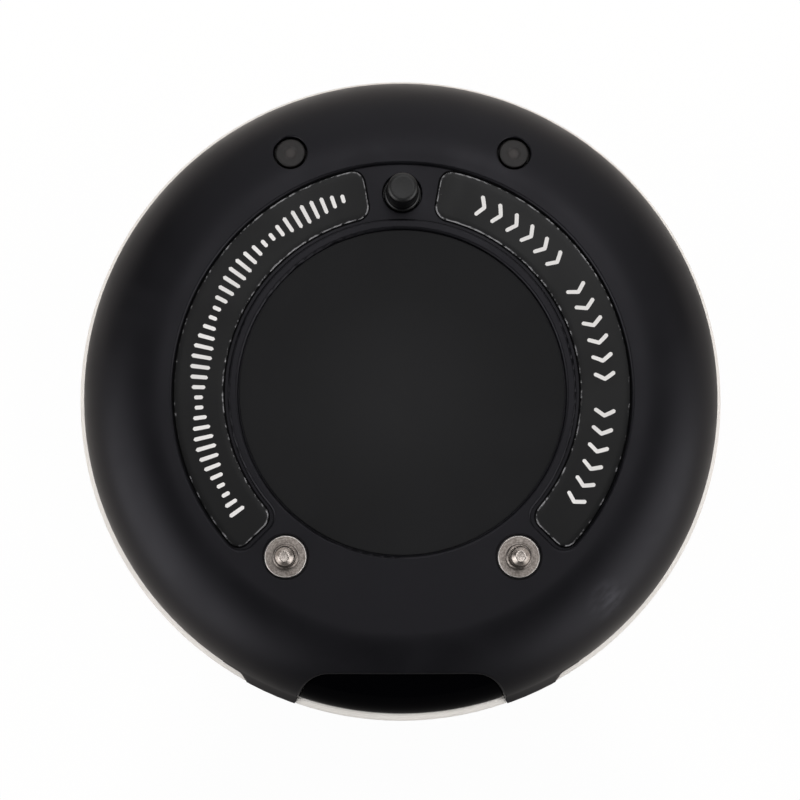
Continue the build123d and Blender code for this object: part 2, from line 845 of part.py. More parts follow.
with BuildPart() as board_screws:
    upright(board_post_spots, board_screw_d / 2, board_top_z - board_screw_len, board_top_z)
    upright(board_post_spots, board_screw_head_d / 2, board_top_z, board_top_z + board_screw_head_h)
keep(board_screws.part, "board_screws")

with BuildPart() as led_set:
    with BuildSketch(Plane.XY.offset(board_z - led_h)):
        with PolarLocations(led_ring_r, led_count, start_angle=led_start_angle):
            Rectangle(led_depth, led_w)
    extrude(amount=led_h)
keep(led_set.part, "led_set")

# Battery on its foam pad, with its connector and leads
with BuildPart() as battery_foam:
    with BuildSketch(Plane.XY.offset(floor_z)):
        with Locations((0, battery_y)):
            Rectangle(battery_l, battery_w)
    extrude(amount=foam_t)
keep(battery_foam.part, "battery_foam")

with BuildPart() as battery_cell:
    with BuildSketch(Plane.XY.offset(battery_z)):
        with Locations((0, battery_y)):
            Rectangle(battery_l, battery_w)
    extrude(amount=battery_h)
    fillet(battery_cell.edges().filter_by(Axis.Y), battery_round)
keep(battery_cell.part, "battery_cell")

plug_block_x = battery_l / 2 + plug_block_gap + plug_block_l / 2
with BuildPart() as battery_connector:
    with BuildSketch(Plane.XY.offset(board_z - plug_block_h)):
        with Locations((plug_block_x, plug_block_y)):
            Rectangle(plug_block_l, plug_block_w)
    extrude(amount=plug_block_h)
keep(battery_connector.part, "battery_connector")

lead_end_z = board_z - plug_block_h / 2
lead_end_x = plug_block_x - plug_block_l / 2
with BuildPart() as battery_leads:
    for step in (-1, 1):
        lead_y = plug_block_y + step * lead_pitch / 2
        add(
            wire_along(
                [
                    (battery_l / 2, lead_y, lead_end_z - lead_lift),
                    (battery_l / 2 + lead_run, lead_y, lead_end_z - lead_lift),
                    (lead_end_x - lead_run, lead_y, lead_end_z),
                    (lead_end_x, lead_y, lead_end_z),
                ],
                lead_bend,
                lead_d,
            )
        )
keep(battery_leads.part, "battery_leads")

# Vibration motor in its sleeve, with its shaft, weight and leads
with BuildPart() as motor_can:
    with BuildSketch(plane_towards_front(motor_x, motor_front_y, motor_z)):
        Circle(motor_d / 2)
    extrude(amount=motor_len)
    with BuildSketch(plane_towards_front(motor_x, motor_front_y, motor_z)):
        Circle(shaft_d / 2 + shaft_gap)
    extrude(amount=shaft_bore_depth, mode=Mode.SUBTRACT)
keep(motor_can.part, "motor_can")

with BuildPart() as motor_sleeve:
    with BuildSketch(plane_towards_front(motor_x, motor_front_y - sleeve_setback, motor_z)):
        Circle(sleeve_w / 2)
        with Locations((0, -sleeve_w / 4)):
            Rectangle(sleeve_w, sleeve_w / 2)
        Circle(motor_d / 2 + sleeve_gap, mode=Mode.SUBTRACT)
    extrude(amount=sleeve_len)
keep(motor_sleeve.part, "motor_sleeve")

with BuildPart() as motor_shaft:
    with BuildSketch(plane_towards_front(motor_x, motor_front_y + shaft_out, motor_z)):
        Circle(shaft_d / 2)
    extrude(amount=shaft_out + shaft_in)
keep(motor_shaft.part, "motor_shaft")

with BuildPart() as eccentric_weight:
    weight_plane = plane_towards_front(motor_x, motor_front_y + weight_gap + weight_len, motor_z)
    with BuildSketch(weight_plane):
        Circle(weight_r)
        with Locations((0, weight_cut_h)):
            Rectangle(
                2 * weight_r, weight_r, align=(Align.CENTER, Align.MIN), mode=Mode.SUBTRACT
            )
        Circle(shaft_d / 2 + weight_bore_gap, mode=Mode.SUBTRACT)
    extrude(amount=weight_len)
keep(eccentric_weight.part, "eccentric_weight")

motor_rear_y = motor_front_y - motor_len
with BuildPart() as motor_leads:
    for step in (-1, 1):
        lead_x = motor_x + step * motor_lead_pitch / 2
        add(
            wire_along(
                [
                    (lead_x, motor_rear_y, motor_z),
                    (lead_x, motor_rear_y - motor_lead_run, motor_z),
                    (lead_x, motor_rear_y - motor_lead_run, board_top_z),
                ],
                motor_lead_bend,
                motor_lead_d,
            )
        )
keep(motor_leads.part, "motor_leads")

# Buzzer
with BuildPart() as buzzer:
    with BuildSketch(Plane.XY.offset(board_top_z)):
        with Locations((buzzer_x, buzzer_y)):
            Circle(buzzer_d / 2)
    extrude(amount=buzzer_h)
    with Locations((buzzer_x, buzzer_y, board_top_z + buzzer_h)):
        Hole(buzzer_port_d / 2, depth=buzzer_port_depth)
keep(buzzer.part, "buzzer")

# Radio module: a small board with a metal can on it
with BuildPart() as radio_module:
    with BuildSketch(Plane.XY.offset(board_top_z)):
        with Locations((radio_x, radio_y)):
            Rectangle(radio_l, radio_w)
    extrude(amount=radio_base_t)
    with BuildSketch(Plane.XY.offset(board_top_z + radio_base_t)):
        with Locations((radio_x, radio_y)):
            Rectangle(radio_l - 2 * radio_can_inset, radio_w - 2 * radio_can_inset)
    extrude(amount=radio_can_h)
keep(radio_module.part, "radio_module")

# Processor
with BuildPart() as processor_chip:
    with BuildSketch(Plane.XY.offset(board_top_z)):
        with Locations((chip_x, chip_y)):
            Rectangle(chip_w, chip_w)
    extrude(amount=chip_h)
    chamfer(processor_chip.edges().group_by(Axis.Z)[-1], chip_round)
keep(processor_chip.part, "processor_chip")

# Antenna: a ferrite rod along X in its winding
rod_z = board_top_z + winding_d / 2
with BuildPart() as antenna_rod:
    with BuildSketch(Plane.YZ.offset(rod_x - rod_len / 2)):
        with Locations((rod_y, rod_z)):
            Circle(rod_d / 2)
    extrude(amount=rod_len)
keep(antenna_rod.part, "antenna_rod")

with BuildPart() as antenna_winding:
    with BuildSketch(Plane.YZ.offset(rod_x - winding_len / 2)):
        with Locations((rod_y, rod_z)):
            Circle(winding_d / 2)
            Circle(rod_d / 2 + winding_gap, mode=Mode.SUBTRACT)
    extrude(amount=winding_len)
keep(antenna_winding.part, "antenna_winding")

# Write every piece to its own file
os.makedirs("parts", exist_ok=True)
for piece in pieces:
    export_step(piece, f"parts/{piece.label}.step")
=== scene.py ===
"""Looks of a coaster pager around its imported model, contact side up.

Lengths are millimetres until a mesh is written, which turns them into metres. The origin is on the table
under the middle of the case. +Z is up, +X is right and +Y is back, so the front notch is at -Y.
"""

import json
import logging
import math
from dataclasses import dataclass, replace
from enum import Enum

import bmesh
import bpy
import numpy as np
from mathutils import Matrix, Vector


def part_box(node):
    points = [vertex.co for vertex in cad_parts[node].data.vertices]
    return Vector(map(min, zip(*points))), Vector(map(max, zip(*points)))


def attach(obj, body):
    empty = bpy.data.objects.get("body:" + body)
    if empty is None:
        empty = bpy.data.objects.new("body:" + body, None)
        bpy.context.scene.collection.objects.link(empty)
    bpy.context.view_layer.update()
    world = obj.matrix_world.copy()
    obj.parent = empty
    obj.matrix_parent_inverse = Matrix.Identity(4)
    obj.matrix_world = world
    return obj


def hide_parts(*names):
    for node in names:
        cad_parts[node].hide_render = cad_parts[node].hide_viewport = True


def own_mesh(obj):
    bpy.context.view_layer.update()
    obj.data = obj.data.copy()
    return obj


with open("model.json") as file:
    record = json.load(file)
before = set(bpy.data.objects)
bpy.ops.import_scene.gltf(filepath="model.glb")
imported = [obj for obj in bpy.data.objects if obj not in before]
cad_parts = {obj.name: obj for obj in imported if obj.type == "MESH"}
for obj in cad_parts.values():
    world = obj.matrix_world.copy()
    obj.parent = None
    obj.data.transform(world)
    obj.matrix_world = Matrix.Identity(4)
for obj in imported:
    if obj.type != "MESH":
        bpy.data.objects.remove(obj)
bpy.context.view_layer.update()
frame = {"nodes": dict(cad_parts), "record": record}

log = logging.getLogger("coaster_pager")

MM = 0.001
TURN = 2 * math.pi
MERGE_DISTANCE = 1e-6
SHARP_ANGLE = math.radians(32)
LEVEL_COSINE = 0.99999
COIL_STEPS = 48
WIRE_SIDES = 12

Pair = tuple[float, float]
Triple = tuple[float, float, float]
Colour = Triple
Value = bpy.types.NodeSocket | float | tuple
Sockets = bpy.types.bpy_prop_collection


class Body(Enum):
    """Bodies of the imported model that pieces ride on."""

    CASE = "case"
    KEY = "key"
    LEFT_CONTACT = "left_contact"
    RIGHT_CONTACT = "right_contact"


class Side(Enum):
    """Left or right half of the pager, as seen with the notch in front."""

    LEFT = "left"
    RIGHT = "right"

    @property
    def sign(self) -> int:
        """Sign of X on this side."""
        return -1 if self is Side.LEFT else 1

    @property
    def contact(self) -> Body:
        """Body of the sprung plunger on this side."""
        return Body.LEFT_CONTACT if self is Side.LEFT else Body.RIGHT_CONTACT


class Mark(Enum):
    """Generic printed mark on a label."""

    PULSE = "pulse"
    CHEVRON = "chevron"


@dataclass(frozen=True)
class Span:
    """Box of a node at rest, in millimetres."""

    low: np.ndarray
    high: np.ndarray

    @classmethod
    def of(cls, node: str) -> "Span":
        """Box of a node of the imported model."""
        low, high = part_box(node)
        return cls(np.array(low) / MM, np.array(high) / MM)

    @property
    def axis(self) -> Pair:
        """Middle of the box in plan."""
        middle = (self.low + self.high) / 2
        return float(middle[0]), float(middle[1])

    @property
    def radius(self) -> float:
        """Half of the box's width."""
        return float(self.high[0] - self.low[0]) / 2

    @property
    def bottom(self) -> float:
        """Lowest height."""
        return float(self.low[2])

    @property
    def top(self) -> float:
        """Highest height."""
        return float(self.high[2])


def linear(colour: Colour) -> tuple[float, float, float, float]:
    """Turn an sRGB colour of 0 to 255 into a linear one.

    A channel c of 0 to 1 becomes c / 12.92 up to 0.04045, and ((c + 0.055) / 1.055) ** 2.4 above.

    Args:
        colour: red, green and blue.

    Returns:
        Linear red, green and blue, with an alpha of 1.
    """
    channels = np.array(colour) / 255
    low, high = channels / 12.92, ((channels + 0.055) / 1.055) ** 2.4
    return (*np.where(channels <= 0.04045, low, high).tolist(), 1.0)


def rounded(*corners: Triple, steps: int = 6) -> np.ndarray:
    """Draw a profile through corners, each rounded by an arc tangent to its two sides.

    At a corner with radius R and half angle h, the arc starts R / tan(h) along each side and its centre is
    R / sin(h) along the bisector. The arc's points turn from one end to the other by equal angles.

    Args:
        corners: radius, height and rounding of each corner. A rounding of 0 keeps the corner.
        steps: spans in each arc.

    Returns:
        Points of (radius, height).
    """
    places = np.array([corner[:2] for corner in corners])
    runs = [places[:1]]
    for index in range(1, len(corners) - 1):
        bend = corners[index][2]
        if bend <= 0:
            runs.append(places[index : index + 1])
            continue
        before = places[index - 1] - places[index]
        after = places[index + 1] - places[index]
        before, after = before / np.linalg.norm(before), after / np.linalg.norm(after)
        half = math.acos(np.clip(before @ after, -1, 1)) / 2
        bisector = (before + after) / np.linalg.norm(before + after)
        middle = places[index] + bisector * bend / math.sin(half)
        first = places[index] + before * bend / math.tan(half) - middle
        last = places[index] + after * bend / math.tan(half) - middle
        turn = math.pi - 2 * half
        share = np.linspace(0, 1, steps + 1)[:, None]
        runs.append(
            middle + (np.sin((1 - share) * turn) * first + np.sin(share * turn) * last) / math.sin(turn)
        )
    runs.append(places[-1:])
    return np.vstack(runs)


def turned(profile: np.ndarray, axis: Pair, steps: int) -> np.ndarray:
    """Turn a profile about an upright axis.

    Point (i, j) is (x + r_i cos a_j, y + r_i sin a_j, z_i), with a_j equal steps of one turn.

    Args:
        profile: points of (radius, height).
        axis: place of the axis in plan.
        steps: spans in one turn.

    Returns:
        Grid of points, one row for each point of the profile.
    """
    angle = np.arange(steps) * TURN / steps
    radius, height = profile[:, :1], profile[:, 1:]
    return np.stack(
        [
            axis[0] + radius * np.cos(angle),
            axis[1] + radius * np.sin(angle),
            np.broadcast_to(height, (len(profile), steps)),
        ],
        axis=-1,
    )


def level(points: np.ndarray, height: float) -> np.ndarray:
    """Points in plan, lifted to a height."""
    return np.concatenate([points, np.full((*points.shape[:-1], 1), height)], axis=-1)


def coil(axis: Pair, ends: Pair, coil_r: float, wire_r: float, turns: float) -> np.ndarray:
    """Wind a round wire along a helix.

    The wire's middle is (R cos a, R sin a, z0 + rise a / total). A ring of the wire lies in the plane of the
    outward direction N and of T x N, where T is the helix's direction, and the ends close to a point.

    Args:
        axis: place of the helix's axis in plan.
        ends: lowest and highest point of the coil.
        coil_r: radius of the helix.
        wire_r: radius of the wire.
        turns: number of turns.

    Returns:
        Grid of points, one row for each ring of the wire.
    """
    angle = np.linspace(0, turns * TURN, int(turns * COIL_STEPS) + 1)
    low, high = ends[0] + wire_r, ends[1] - wire_r
    middle = np.stack(
        [coil_r * np.cos(angle), coil_r * np.sin(angle), np.linspace(low, high, len(angle))], axis=-1
    )
    along = np.gradient(middle, axis=0)
    along /= np.linalg.norm(along, axis=1, keepdims=True)
    outward = np.stack([np.cos(angle), np.sin(angle), np.zeros_like(angle)], axis=-1)
    upward = np.cross(along, outward)
    around = np.arange(WIRE_SIDES) * TURN / WIRE_SIDES
    rings = middle[:, None] + wire_r * (
        np.cos(around)[None, :, None] * outward[:, None] + np.sin(around)[None, :, None] * upward[:, None]
    )
    first, last = (np.repeat(middle[end][None, None], WIRE_SIDES, axis=1) for end in (0, -1))
    return np.vstack([first, rings, last]) + (*axis, 0)


class Form:
    """Surface of one piece, gathered from grids of points that meet edge to edge."""

    def __init__(self) -> None:
        """Start with no surface."""
        self._points: list[np.ndarray] = []
        self._faces: list[np.ndarray] = []
        self._measures: dict[str, list[np.ndarray]] = {"axis_mm": [], "edge_mm": []}
        self._count = 0

    def add(
        self,
        grid: np.ndarray,
        around: bool = False,
        axis: Pair | None = None,
        edge: np.ndarray | None = None,
    ) -> "Form":
        """Add a grid of four-sided faces.

        Face (i, j) joins the points (i, j), (i, j + 1), (i + 1, j + 1) and (i + 1, j).

        Args:
            grid: points, in rows and columns.
            around: whether the last column joins the first.
            axis: place in plan that the measure axis_mm is taken from.
            edge: distance of each point from the piece's edge, kept as the measure edge_mm.

        Returns:
            This form, for a further call.
        """
        rows, columns = grid.shape[:2]
        index = np.arange(rows * columns).reshape(rows, columns) + self._count
        if around:
            index = np.hstack([index, index[:, :1]])
        quads = np.stack([index[:-1, :-1], index[:-1, 1:], index[1:, 1:], index[1:, :-1]], axis=-1)
        points = grid.reshape(-1, 3)
        middle = np.array(axis if axis else (0.0, 0.0))
        self._points.append(points)
        self._faces.append(quads.reshape(-1, 4))
        self._measures["axis_mm"].append(np.linalg.norm(points[:, :2] - middle, axis=1))
        self._measures["edge_mm"].append(np.zeros(len(points)) if edge is None else edge.ravel())
        self._count += len(points)
        return self

    def turn(self, profile: np.ndarray, axis: Pair, steps: int = 96) -> "Form":
        """Add a profile of (radius, height), turned about an upright axis."""
        return self.add(turned(profile, axis, steps), around=True, axis=axis)

    def mesh(self, name: str) -> bpy.types.Mesh:
        """Write the surface as a mesh in metres, with its doubles merged and its faces outwards.

        Args:
            name: name of the mesh.

        Returns:
            The mesh, smooth up to the sharp angle.
        """
        mesh = bpy.data.meshes.new(name)
        points, faces = np.vstack(self._points) * MM, np.vstack(self._faces)
        mesh.from_pydata(points, [], faces)
        for measure, values in self._measures.items():
            attribute = mesh.attributes.new(measure, "FLOAT", "POINT")
            attribute.data.foreach_set("value", np.concatenate(values).astype(np.float32))
        merge(mesh)
        return mesh


def merge(mesh: bpy.types.Mesh, turn_outwards: bool = True) -> None:
    """Merge a mesh's doubles and smooth it up to the sharp angle.

    Args:
        mesh: mesh to change.
        turn_outwards: whether to work out the faces' directions again.
    """
    work = bmesh.new()
    work.from_mesh(mesh)
    bmesh.ops.remove_doubles(work, verts=work.verts, dist=MERGE_DISTANCE)
    bmesh.ops.dissolve_degenerate(work, edges=work.edges, dist=MERGE_DISTANCE / 10)
    if turn_outwards:
        bmesh.ops.recalc_face_normals(work, faces=work.faces)
    work.to_mesh(mesh)
    work.free()
    mesh.shade_smooth()
    mesh.set_sharp_from_angle(angle=SHARP_ANGLE)


@dataclass(frozen=True)
class TurnedCurve:
    """Part of a turned surface whose section is an ellipse, and the direction that it faces exactly.

    A point is on it where ((r - R) / a) ** 2 + ((z - Z) / b) ** 2 is 1, and faces along
    ((r - R) / a ** 2, (z - Z) / b ** 2) in radius and height.
    """

    middle_r: float
    middle_z: float
    half_w: float
    half_h: float
    tolerance: float = 0.004

    def facing(self, points: np.ndarray) -> tuple[np.ndarray, np.ndarray]:
        """Find the points on the surface and the direction at each point.

        Args:
            points: points in millimetres.

        Returns:
            Whether each point is on the surface, and its direction.
        """
        radius = np.linalg.norm(points[:, :2], axis=1)
        across = (radius - self.middle_r) / self.half_w
        up = (points[:, 2] - self.middle_z) / self.half_h
        on_it = (np.abs(across**2 + up**2 - 1) < self.tolerance) & (across > 0)
        outward = points[:, :2] / np.maximum(radius, MERGE_DISTANCE)[:, None]
        direction = np.column_stack([outward * (across / self.half_w)[:, None], up / self.half_h])
        return on_it, direction / np.linalg.norm(direction, axis=1, keepdims=True)


def read(
    items: bpy.types.bpy_prop_collection, name: str, columns: int = 0, kind: type = np.float32
) -> np.ndarray:
    """Read one property of all of a mesh's vertices, corners or faces.

    Args:
        items: the vertices, corners or faces.
        name: name of the property.
        columns: numbers in each value, or 0 for a plain number.
        kind: type of the numbers.

    Returns:
        The values, one row each.
    """
    values = np.empty(len(items) * max(columns, 1), kind)
    items.foreach_get(name, values)
    return values.reshape(-1, columns) if columns else values


def true_normals(mesh: bpy.types.Mesh, curves: list[TurnedCurve], agreement: float = 0.97) -> None:
    """Give the corners of a mesh the exact direction of the turned surfaces that they lie on.

    A corner beside a level face turns upright if its own face leans by less than the sharp angle. A corner
    takes a curve's direction, or its reverse on an inner wall, where its point is on the curve and the
    direction agrees with its face. Every other corner keeps its weighted direction.

    Args:
        mesh: mesh to change, made of triangles.
        curves: turned surfaces.
        agreement: least cosine between a curve's direction and the face's.
    """
    normals = read(mesh.corner_normals, "vector", 3)
    vertex_of = read(mesh.loops, "vertex_index", kind=np.int32)
    points = read(mesh.vertices, "co", 3)[vertex_of] / MM
    totals = read(mesh.polygons, "loop_total", kind=np.int32)
    face_of = np.repeat(read(mesh.polygons, "normal", 3), totals, axis=0)
    beside_level = np.zeros(len(mesh.vertices), bool)
    beside_level[vertex_of[np.abs(face_of[:, 2]) > LEVEL_COSINE]] = True
    upright = beside_level[vertex_of] & (np.abs(face_of[:, 2]) > math.cos(SHARP_ANGLE))
    normals[upright] = np.array([0.0, 0.0, 1.0]) * np.sign(face_of[upright, 2:])
    for curve in curves:
        on_it, direction = curve.facing(points)
        cosine = np.sum(direction * face_of, axis=1)
        use = on_it & (np.abs(cosine) > agreement)
        normals[use] = direction[use] * np.sign(cosine[use])[:, None]
    mesh.normals_split_custom_set(normals)


class NodeDesk:
    """Node tree with short calls that add nodes and join them."""

    def __init__(self, tree: bpy.types.NodeTree) -> None:
        """Work on the tree of a material, a world or a group."""
        self.tree = tree

    def node(self, kind: str, *values: Value, **settings: object) -> bpy.types.Node:
        """Add a node.

        Args:
            kind: type name of the node, without ShaderNode.
            values: what feeds its first inputs, in order.
            settings: properties of the node.

        Returns:
            The node.
        """
        node = self.tree.nodes.new(f"ShaderNode{kind}")
        for name, value in settings.items():
            setattr(node, name, value)
        for socket, value in zip(node.inputs, values):
            self.feed(socket, value)
        return node

    def feed(self, socket: bpy.types.NodeSocket, value: Value) -> None:
        """Link an output into a socket, or set the socket to a plain value.

        Args:
            socket: input to feed.
            value: output socket, number or colour.
        """
        if isinstance(value, bpy.types.NodeSocket):
            self.tree.links.new(value, socket)
        else:
            socket.default_value = value

    def fill(self, node: bpy.types.Node, values: dict[str, Value]) -> bpy.types.Node:
        """Feed a node's inputs by name.

        Args:
            node: the node.
            values: what feeds each input.

        Returns:
            The node.
        """
        for name, value in values.items():
            self.feed(node.inputs[name], value)
        return node

    def maths(self, operation: str, *values: Value, clamp: bool = False) -> bpy.types.NodeSocket:
        """Result of a Math node on sockets or numbers, kept within 0 and 1 by clamp."""
        return self.node("Math", *values, operation=operation, use_clamp=clamp).outputs[0]

    def ramp(
        self, value: Value, start: Value, stop: Value, low: float = 0, high: float = 1
    ) -> bpy.types.NodeSocket:
        """Value carried over by a smooth step, from low at start to high at stop."""
        given = (value, start, stop, low, high)
        return self.node("MapRange", *given, interpolation_type="SMOOTHSTEP").outputs[0]

    def tint(self, share: Value, first: Value, second: Value) -> bpy.types.NodeSocket:
        """Mix two colours.

        Args:
            share: share of the second colour.
            first: colour or socket.
            second: colour or socket.

        Returns:
            The mixed colour.
        """
        node = self.node("Mix", share, data_type="RGBA")
        for index, value in ((6, first), (7, second)):
            self.feed(node.inputs[index], value)
        return node.outputs[2]

    def place(self) -> bpy.types.NodeSocket:
        """Place on the piece, in metres."""
        return self.node("TexCoord").outputs["Object"]

    def measure(self, name: str) -> bpy.types.NodeSocket:
        """Measure that the mesh carries, such as axis_mm."""
        return self.node("Attribute", attribute_name=name).outputs["Fac"]

    def along(self, axis: str, vector: Value) -> bpy.types.NodeSocket:
        """Part X, Y or Z of a vector."""
        return self.node("SeparateXYZ", vector).outputs[axis]

    def pattern(self, kind: str, place: Value, size: Value, **values: Value) -> bpy.types.Node:
        """Texture node of a kind at a place in metres, whose features have a size in millimetres."""
        scale = self.maths("DIVIDE", 1 / MM, size)
        return self.fill(self.node(f"Tex{kind}"), {"Vector": place, "Scale": scale, **values})

    def use(self, group: bpy.types.NodeTree, **values: Value) -> bpy.types.NodeSocket:
        """Output of a node group whose inputs are fed by name."""
        return self.fill(self.node("Group", node_tree=group), values).outputs[0]


class Effects:
    """Node groups that more than one finish uses, each built once."""

    patch_limits: Pair = (0.3, 0.7)
    speck_core: float = 0.4
    rub_fade: float = 0.12

    @staticmethod
    def _group(
        name: str, inputs: dict[str, float | None], output: str
    ) -> tuple[bpy.types.NodeTree, tuple[NodeDesk, Sockets, bpy.types.NodeSocket] | None]:
        """Start a group, or find the one that was built before.

        Args:
            name: name of the group.
            inputs: name and first value of each input, or None for a place.
            output: name of the output.

        Returns:
            The tree, and a desk on it with its inputs and its output, or None if it was built before.
        """
        found = bpy.data.node_groups.get(name)
        if found:
            return found, None
        tree = bpy.data.node_groups.new(name, "ShaderNodeTree")
        for socket, value in inputs.items():
            kind = "NodeSocketVector" if value is None else "NodeSocketFloat"
            made = tree.interface.new_socket(name=socket, in_out="INPUT", socket_type=kind)
            if value is not None:
                made.default_value = value
        tree.interface.new_socket(name=output, in_out="OUTPUT", socket_type="NodeSocketFloat")
        given, out = tree.nodes.new("NodeGroupInput"), tree.nodes.new("NodeGroupOutput")
        return tree, (NodeDesk(tree), given.outputs, out.inputs[0])

    @classmethod
    def grain(cls) -> bpy.types.NodeTree:
        """Fine even grain of a moulded surface: noise of three octaves.

        Returns:
            The group.
        """
        tree, fresh = cls._group("moulded_grain", {"Place": None, "Size": 0.2}, "Height")
        if fresh:
            desk, given, out = fresh
            noise = desk.pattern("Noise", given["Place"], given["Size"], Detail=2.0, Roughness=0.6)
            desk.feed(out, noise.outputs["Fac"])
        return tree

    @classmethod
    def handling(cls) -> bpy.types.NodeTree:
        """Broad soft patches left by hands: noise between -1 and 1.

        Returns:
            The group.
        """
        tree, fresh = cls._group("handling_patches", {"Place": None, "Size": 12.0}, "Patch")
        if fresh:
            desk, given, out = fresh
            noise = desk.pattern("Noise", given["Place"], given["Size"], Detail=4.0, Distortion=0.6)
            desk.feed(out, desk.ramp(noise.outputs["Fac"], *cls.patch_limits, -1, 1))
        return tree

    @classmethod
    def dust(cls) -> bpy.types.NodeTree:
        """Sparse specks of dust: round spots in some of the cells of a Voronoi pattern.

        Returns:
            The group.
        """
        inputs = {"Place": None, "Spacing": 3.0, "Speck": 0.12, "Share": 0.3}
        tree, fresh = cls._group("dust_specks", inputs, "Mask")
        if fresh:
            desk, given, out = fresh
            cells = desk.pattern("Voronoi", given["Place"], given["Spacing"]).outputs
            gap = desk.maths("MULTIPLY", cells["Distance"], given["Spacing"])
            chance, size_share, _ = desk.node("SeparateColor", cells["Color"]).outputs
            size = desk.maths("MULTIPLY", given["Speck"], size_share)
            spot = desk.ramp(gap, size, desk.maths("MULTIPLY", size, cls.speck_core))
            chosen = desk.maths("LESS_THAN", chance, given["Share"])
            desk.feed(out, desk.maths("MULTIPLY", spot, chosen))
        return tree

    @classmethod
    def rub(cls) -> bpy.types.NodeTree:
        """Wear along an edge: strong at the edge, ragged by noise, and gone past a width.

        Returns:
            The group.
        """
        inputs = {"Place": None, "Edge": 1.0, "Width": 0.3, "Grain": 0.8, "Cover": 0.5}
        tree, fresh = cls._group("edge_rub", inputs, "Mask")
        if fresh:
            desk, given, out = fresh
            near = desk.ramp(given["Edge"], given["Width"], 0.0)
            noise = desk.pattern("Noise", given["Place"], given["Grain"], Detail=6.0, Roughness=0.7)
            limit = desk.maths("SUBTRACT", 1.0, given["Cover"])
            broken = desk.ramp(noise.outputs["Fac"], limit, desk.maths("ADD", limit, cls.rub_fade))
            desk.feed(out, desk.maths("MULTIPLY", near, broken))
        return tree

    @classmethod
    def turning(cls) -> bpy.types.NodeTree:
        """Fine rings that a lathe tool leaves: noise along the distance from the axis.

        Returns:
            The group.
        """
        tree, fresh = cls._group("turning_marks", {"Radius": 1.0, "Pitch": 0.06}, "Height")
        if fresh:
            desk, given, out = fresh
            turns = desk.maths("DIVIDE", given["Radius"], given["Pitch"])
            noise = desk.node("TexNoise", noise_dimensions="1D")
            desk.fill(noise, {"W": turns, "Scale": 1.0, "Detail": 2.0})
            desk.feed(out, noise.outputs["Fac"])
        return tree


@dataclass(frozen=True)
class Finish:
    """Moulded surface with fine grain, soft patches from handling, and dust.

    Colours are sRGB values of 0 to 255, and lengths are millimetres.
    """

    name: str
    colour: Colour
    roughness: float
    specular: float = 0.5
    specular_tint: Colour = (255, 255, 255)
    metallic: float = 0.0
    scatter: float = 0.0
    scatter_depth: float = 1.5
    grain_size: float = 0.25
    grain_depth: float = 0.004
    patch_size: float = 14.0
    patch_tone: float = 0.06
    patch_roughness: float = 0.04
    dust_share: float = 0.0
    dust_cover: float = 0.7
    dust_colour: Colour = (120, 118, 115)

    def material(self) -> bpy.types.Material:
        """Build the material, or find the one that was built before.

        Returns:
            The material.
        """
        label = f"{self.name}_finish"
        found = bpy.data.materials.get(label)
        if found:
            return found
        material = bpy.data.materials.new(label)
        material.use_nodes = True
        desk = NodeDesk(material.node_tree)
        patch = desk.use(Effects.handling(), Place=desk.place(), Size=self.patch_size)
        bump = {"Strength": 1.0, "Distance": self.grain_depth * MM, "Height": self.relief(desk)}
        values = {
            "Base Color": self.colouring(desk, patch),
            "Roughness": self.polish(desk, patch),
            "Normal": desk.fill(desk.node("Bump"), bump).outputs["Normal"],
            "Metallic": self.metallic,
            "Subsurface Weight": self.scatter,
            "Subsurface Radius": (1.0, 1.0, 1.0),
            "Subsurface Scale": self.scatter_depth * MM,
            "Specular IOR Level": self.specular,
            "Specular Tint": linear(self.specular_tint),
        }
        desk.fill(desk.tree.nodes["Principled BSDF"], values)
        return material

    def colouring(self, desk: NodeDesk, patch: Value) -> Value:
        """Colour, darker and lighter by the patches, with dust on it.

        Args:
            desk: the material's nodes.
            patch: the handling patches, -1 to 1.

        Returns:
            The colour.
        """
        dark = linear(tuple(channel * (1 - self.patch_tone) for channel in self.colour))
        light = linear(tuple(min(255, channel * (1 + self.patch_tone)) for channel in self.colour))
        colour = desk.tint(desk.ramp(patch, -1, 1), dark, light)
        if self.dust_share > 0:
            specks = desk.use(Effects.dust(), Place=desk.place(), Share=self.dust_share)
            share = desk.maths("MULTIPLY", specks, self.dust_cover)
            colour = desk.tint(share, colour, linear(self.dust_colour))
        return colour

    def polish(self, desk: NodeDesk, patch: Value) -> Value:
        """Roughness, changed a little by the patches."""
        return desk.maths("MULTIPLY_ADD", patch, self.patch_roughness, self.roughness, clamp=True)

    def relief(self, desk: NodeDesk) -> Value:
        """Height of the grain, 0 to 1."""
        return desk.use(Effects.grain(), Place=desk.place(), Size=self.grain_size)


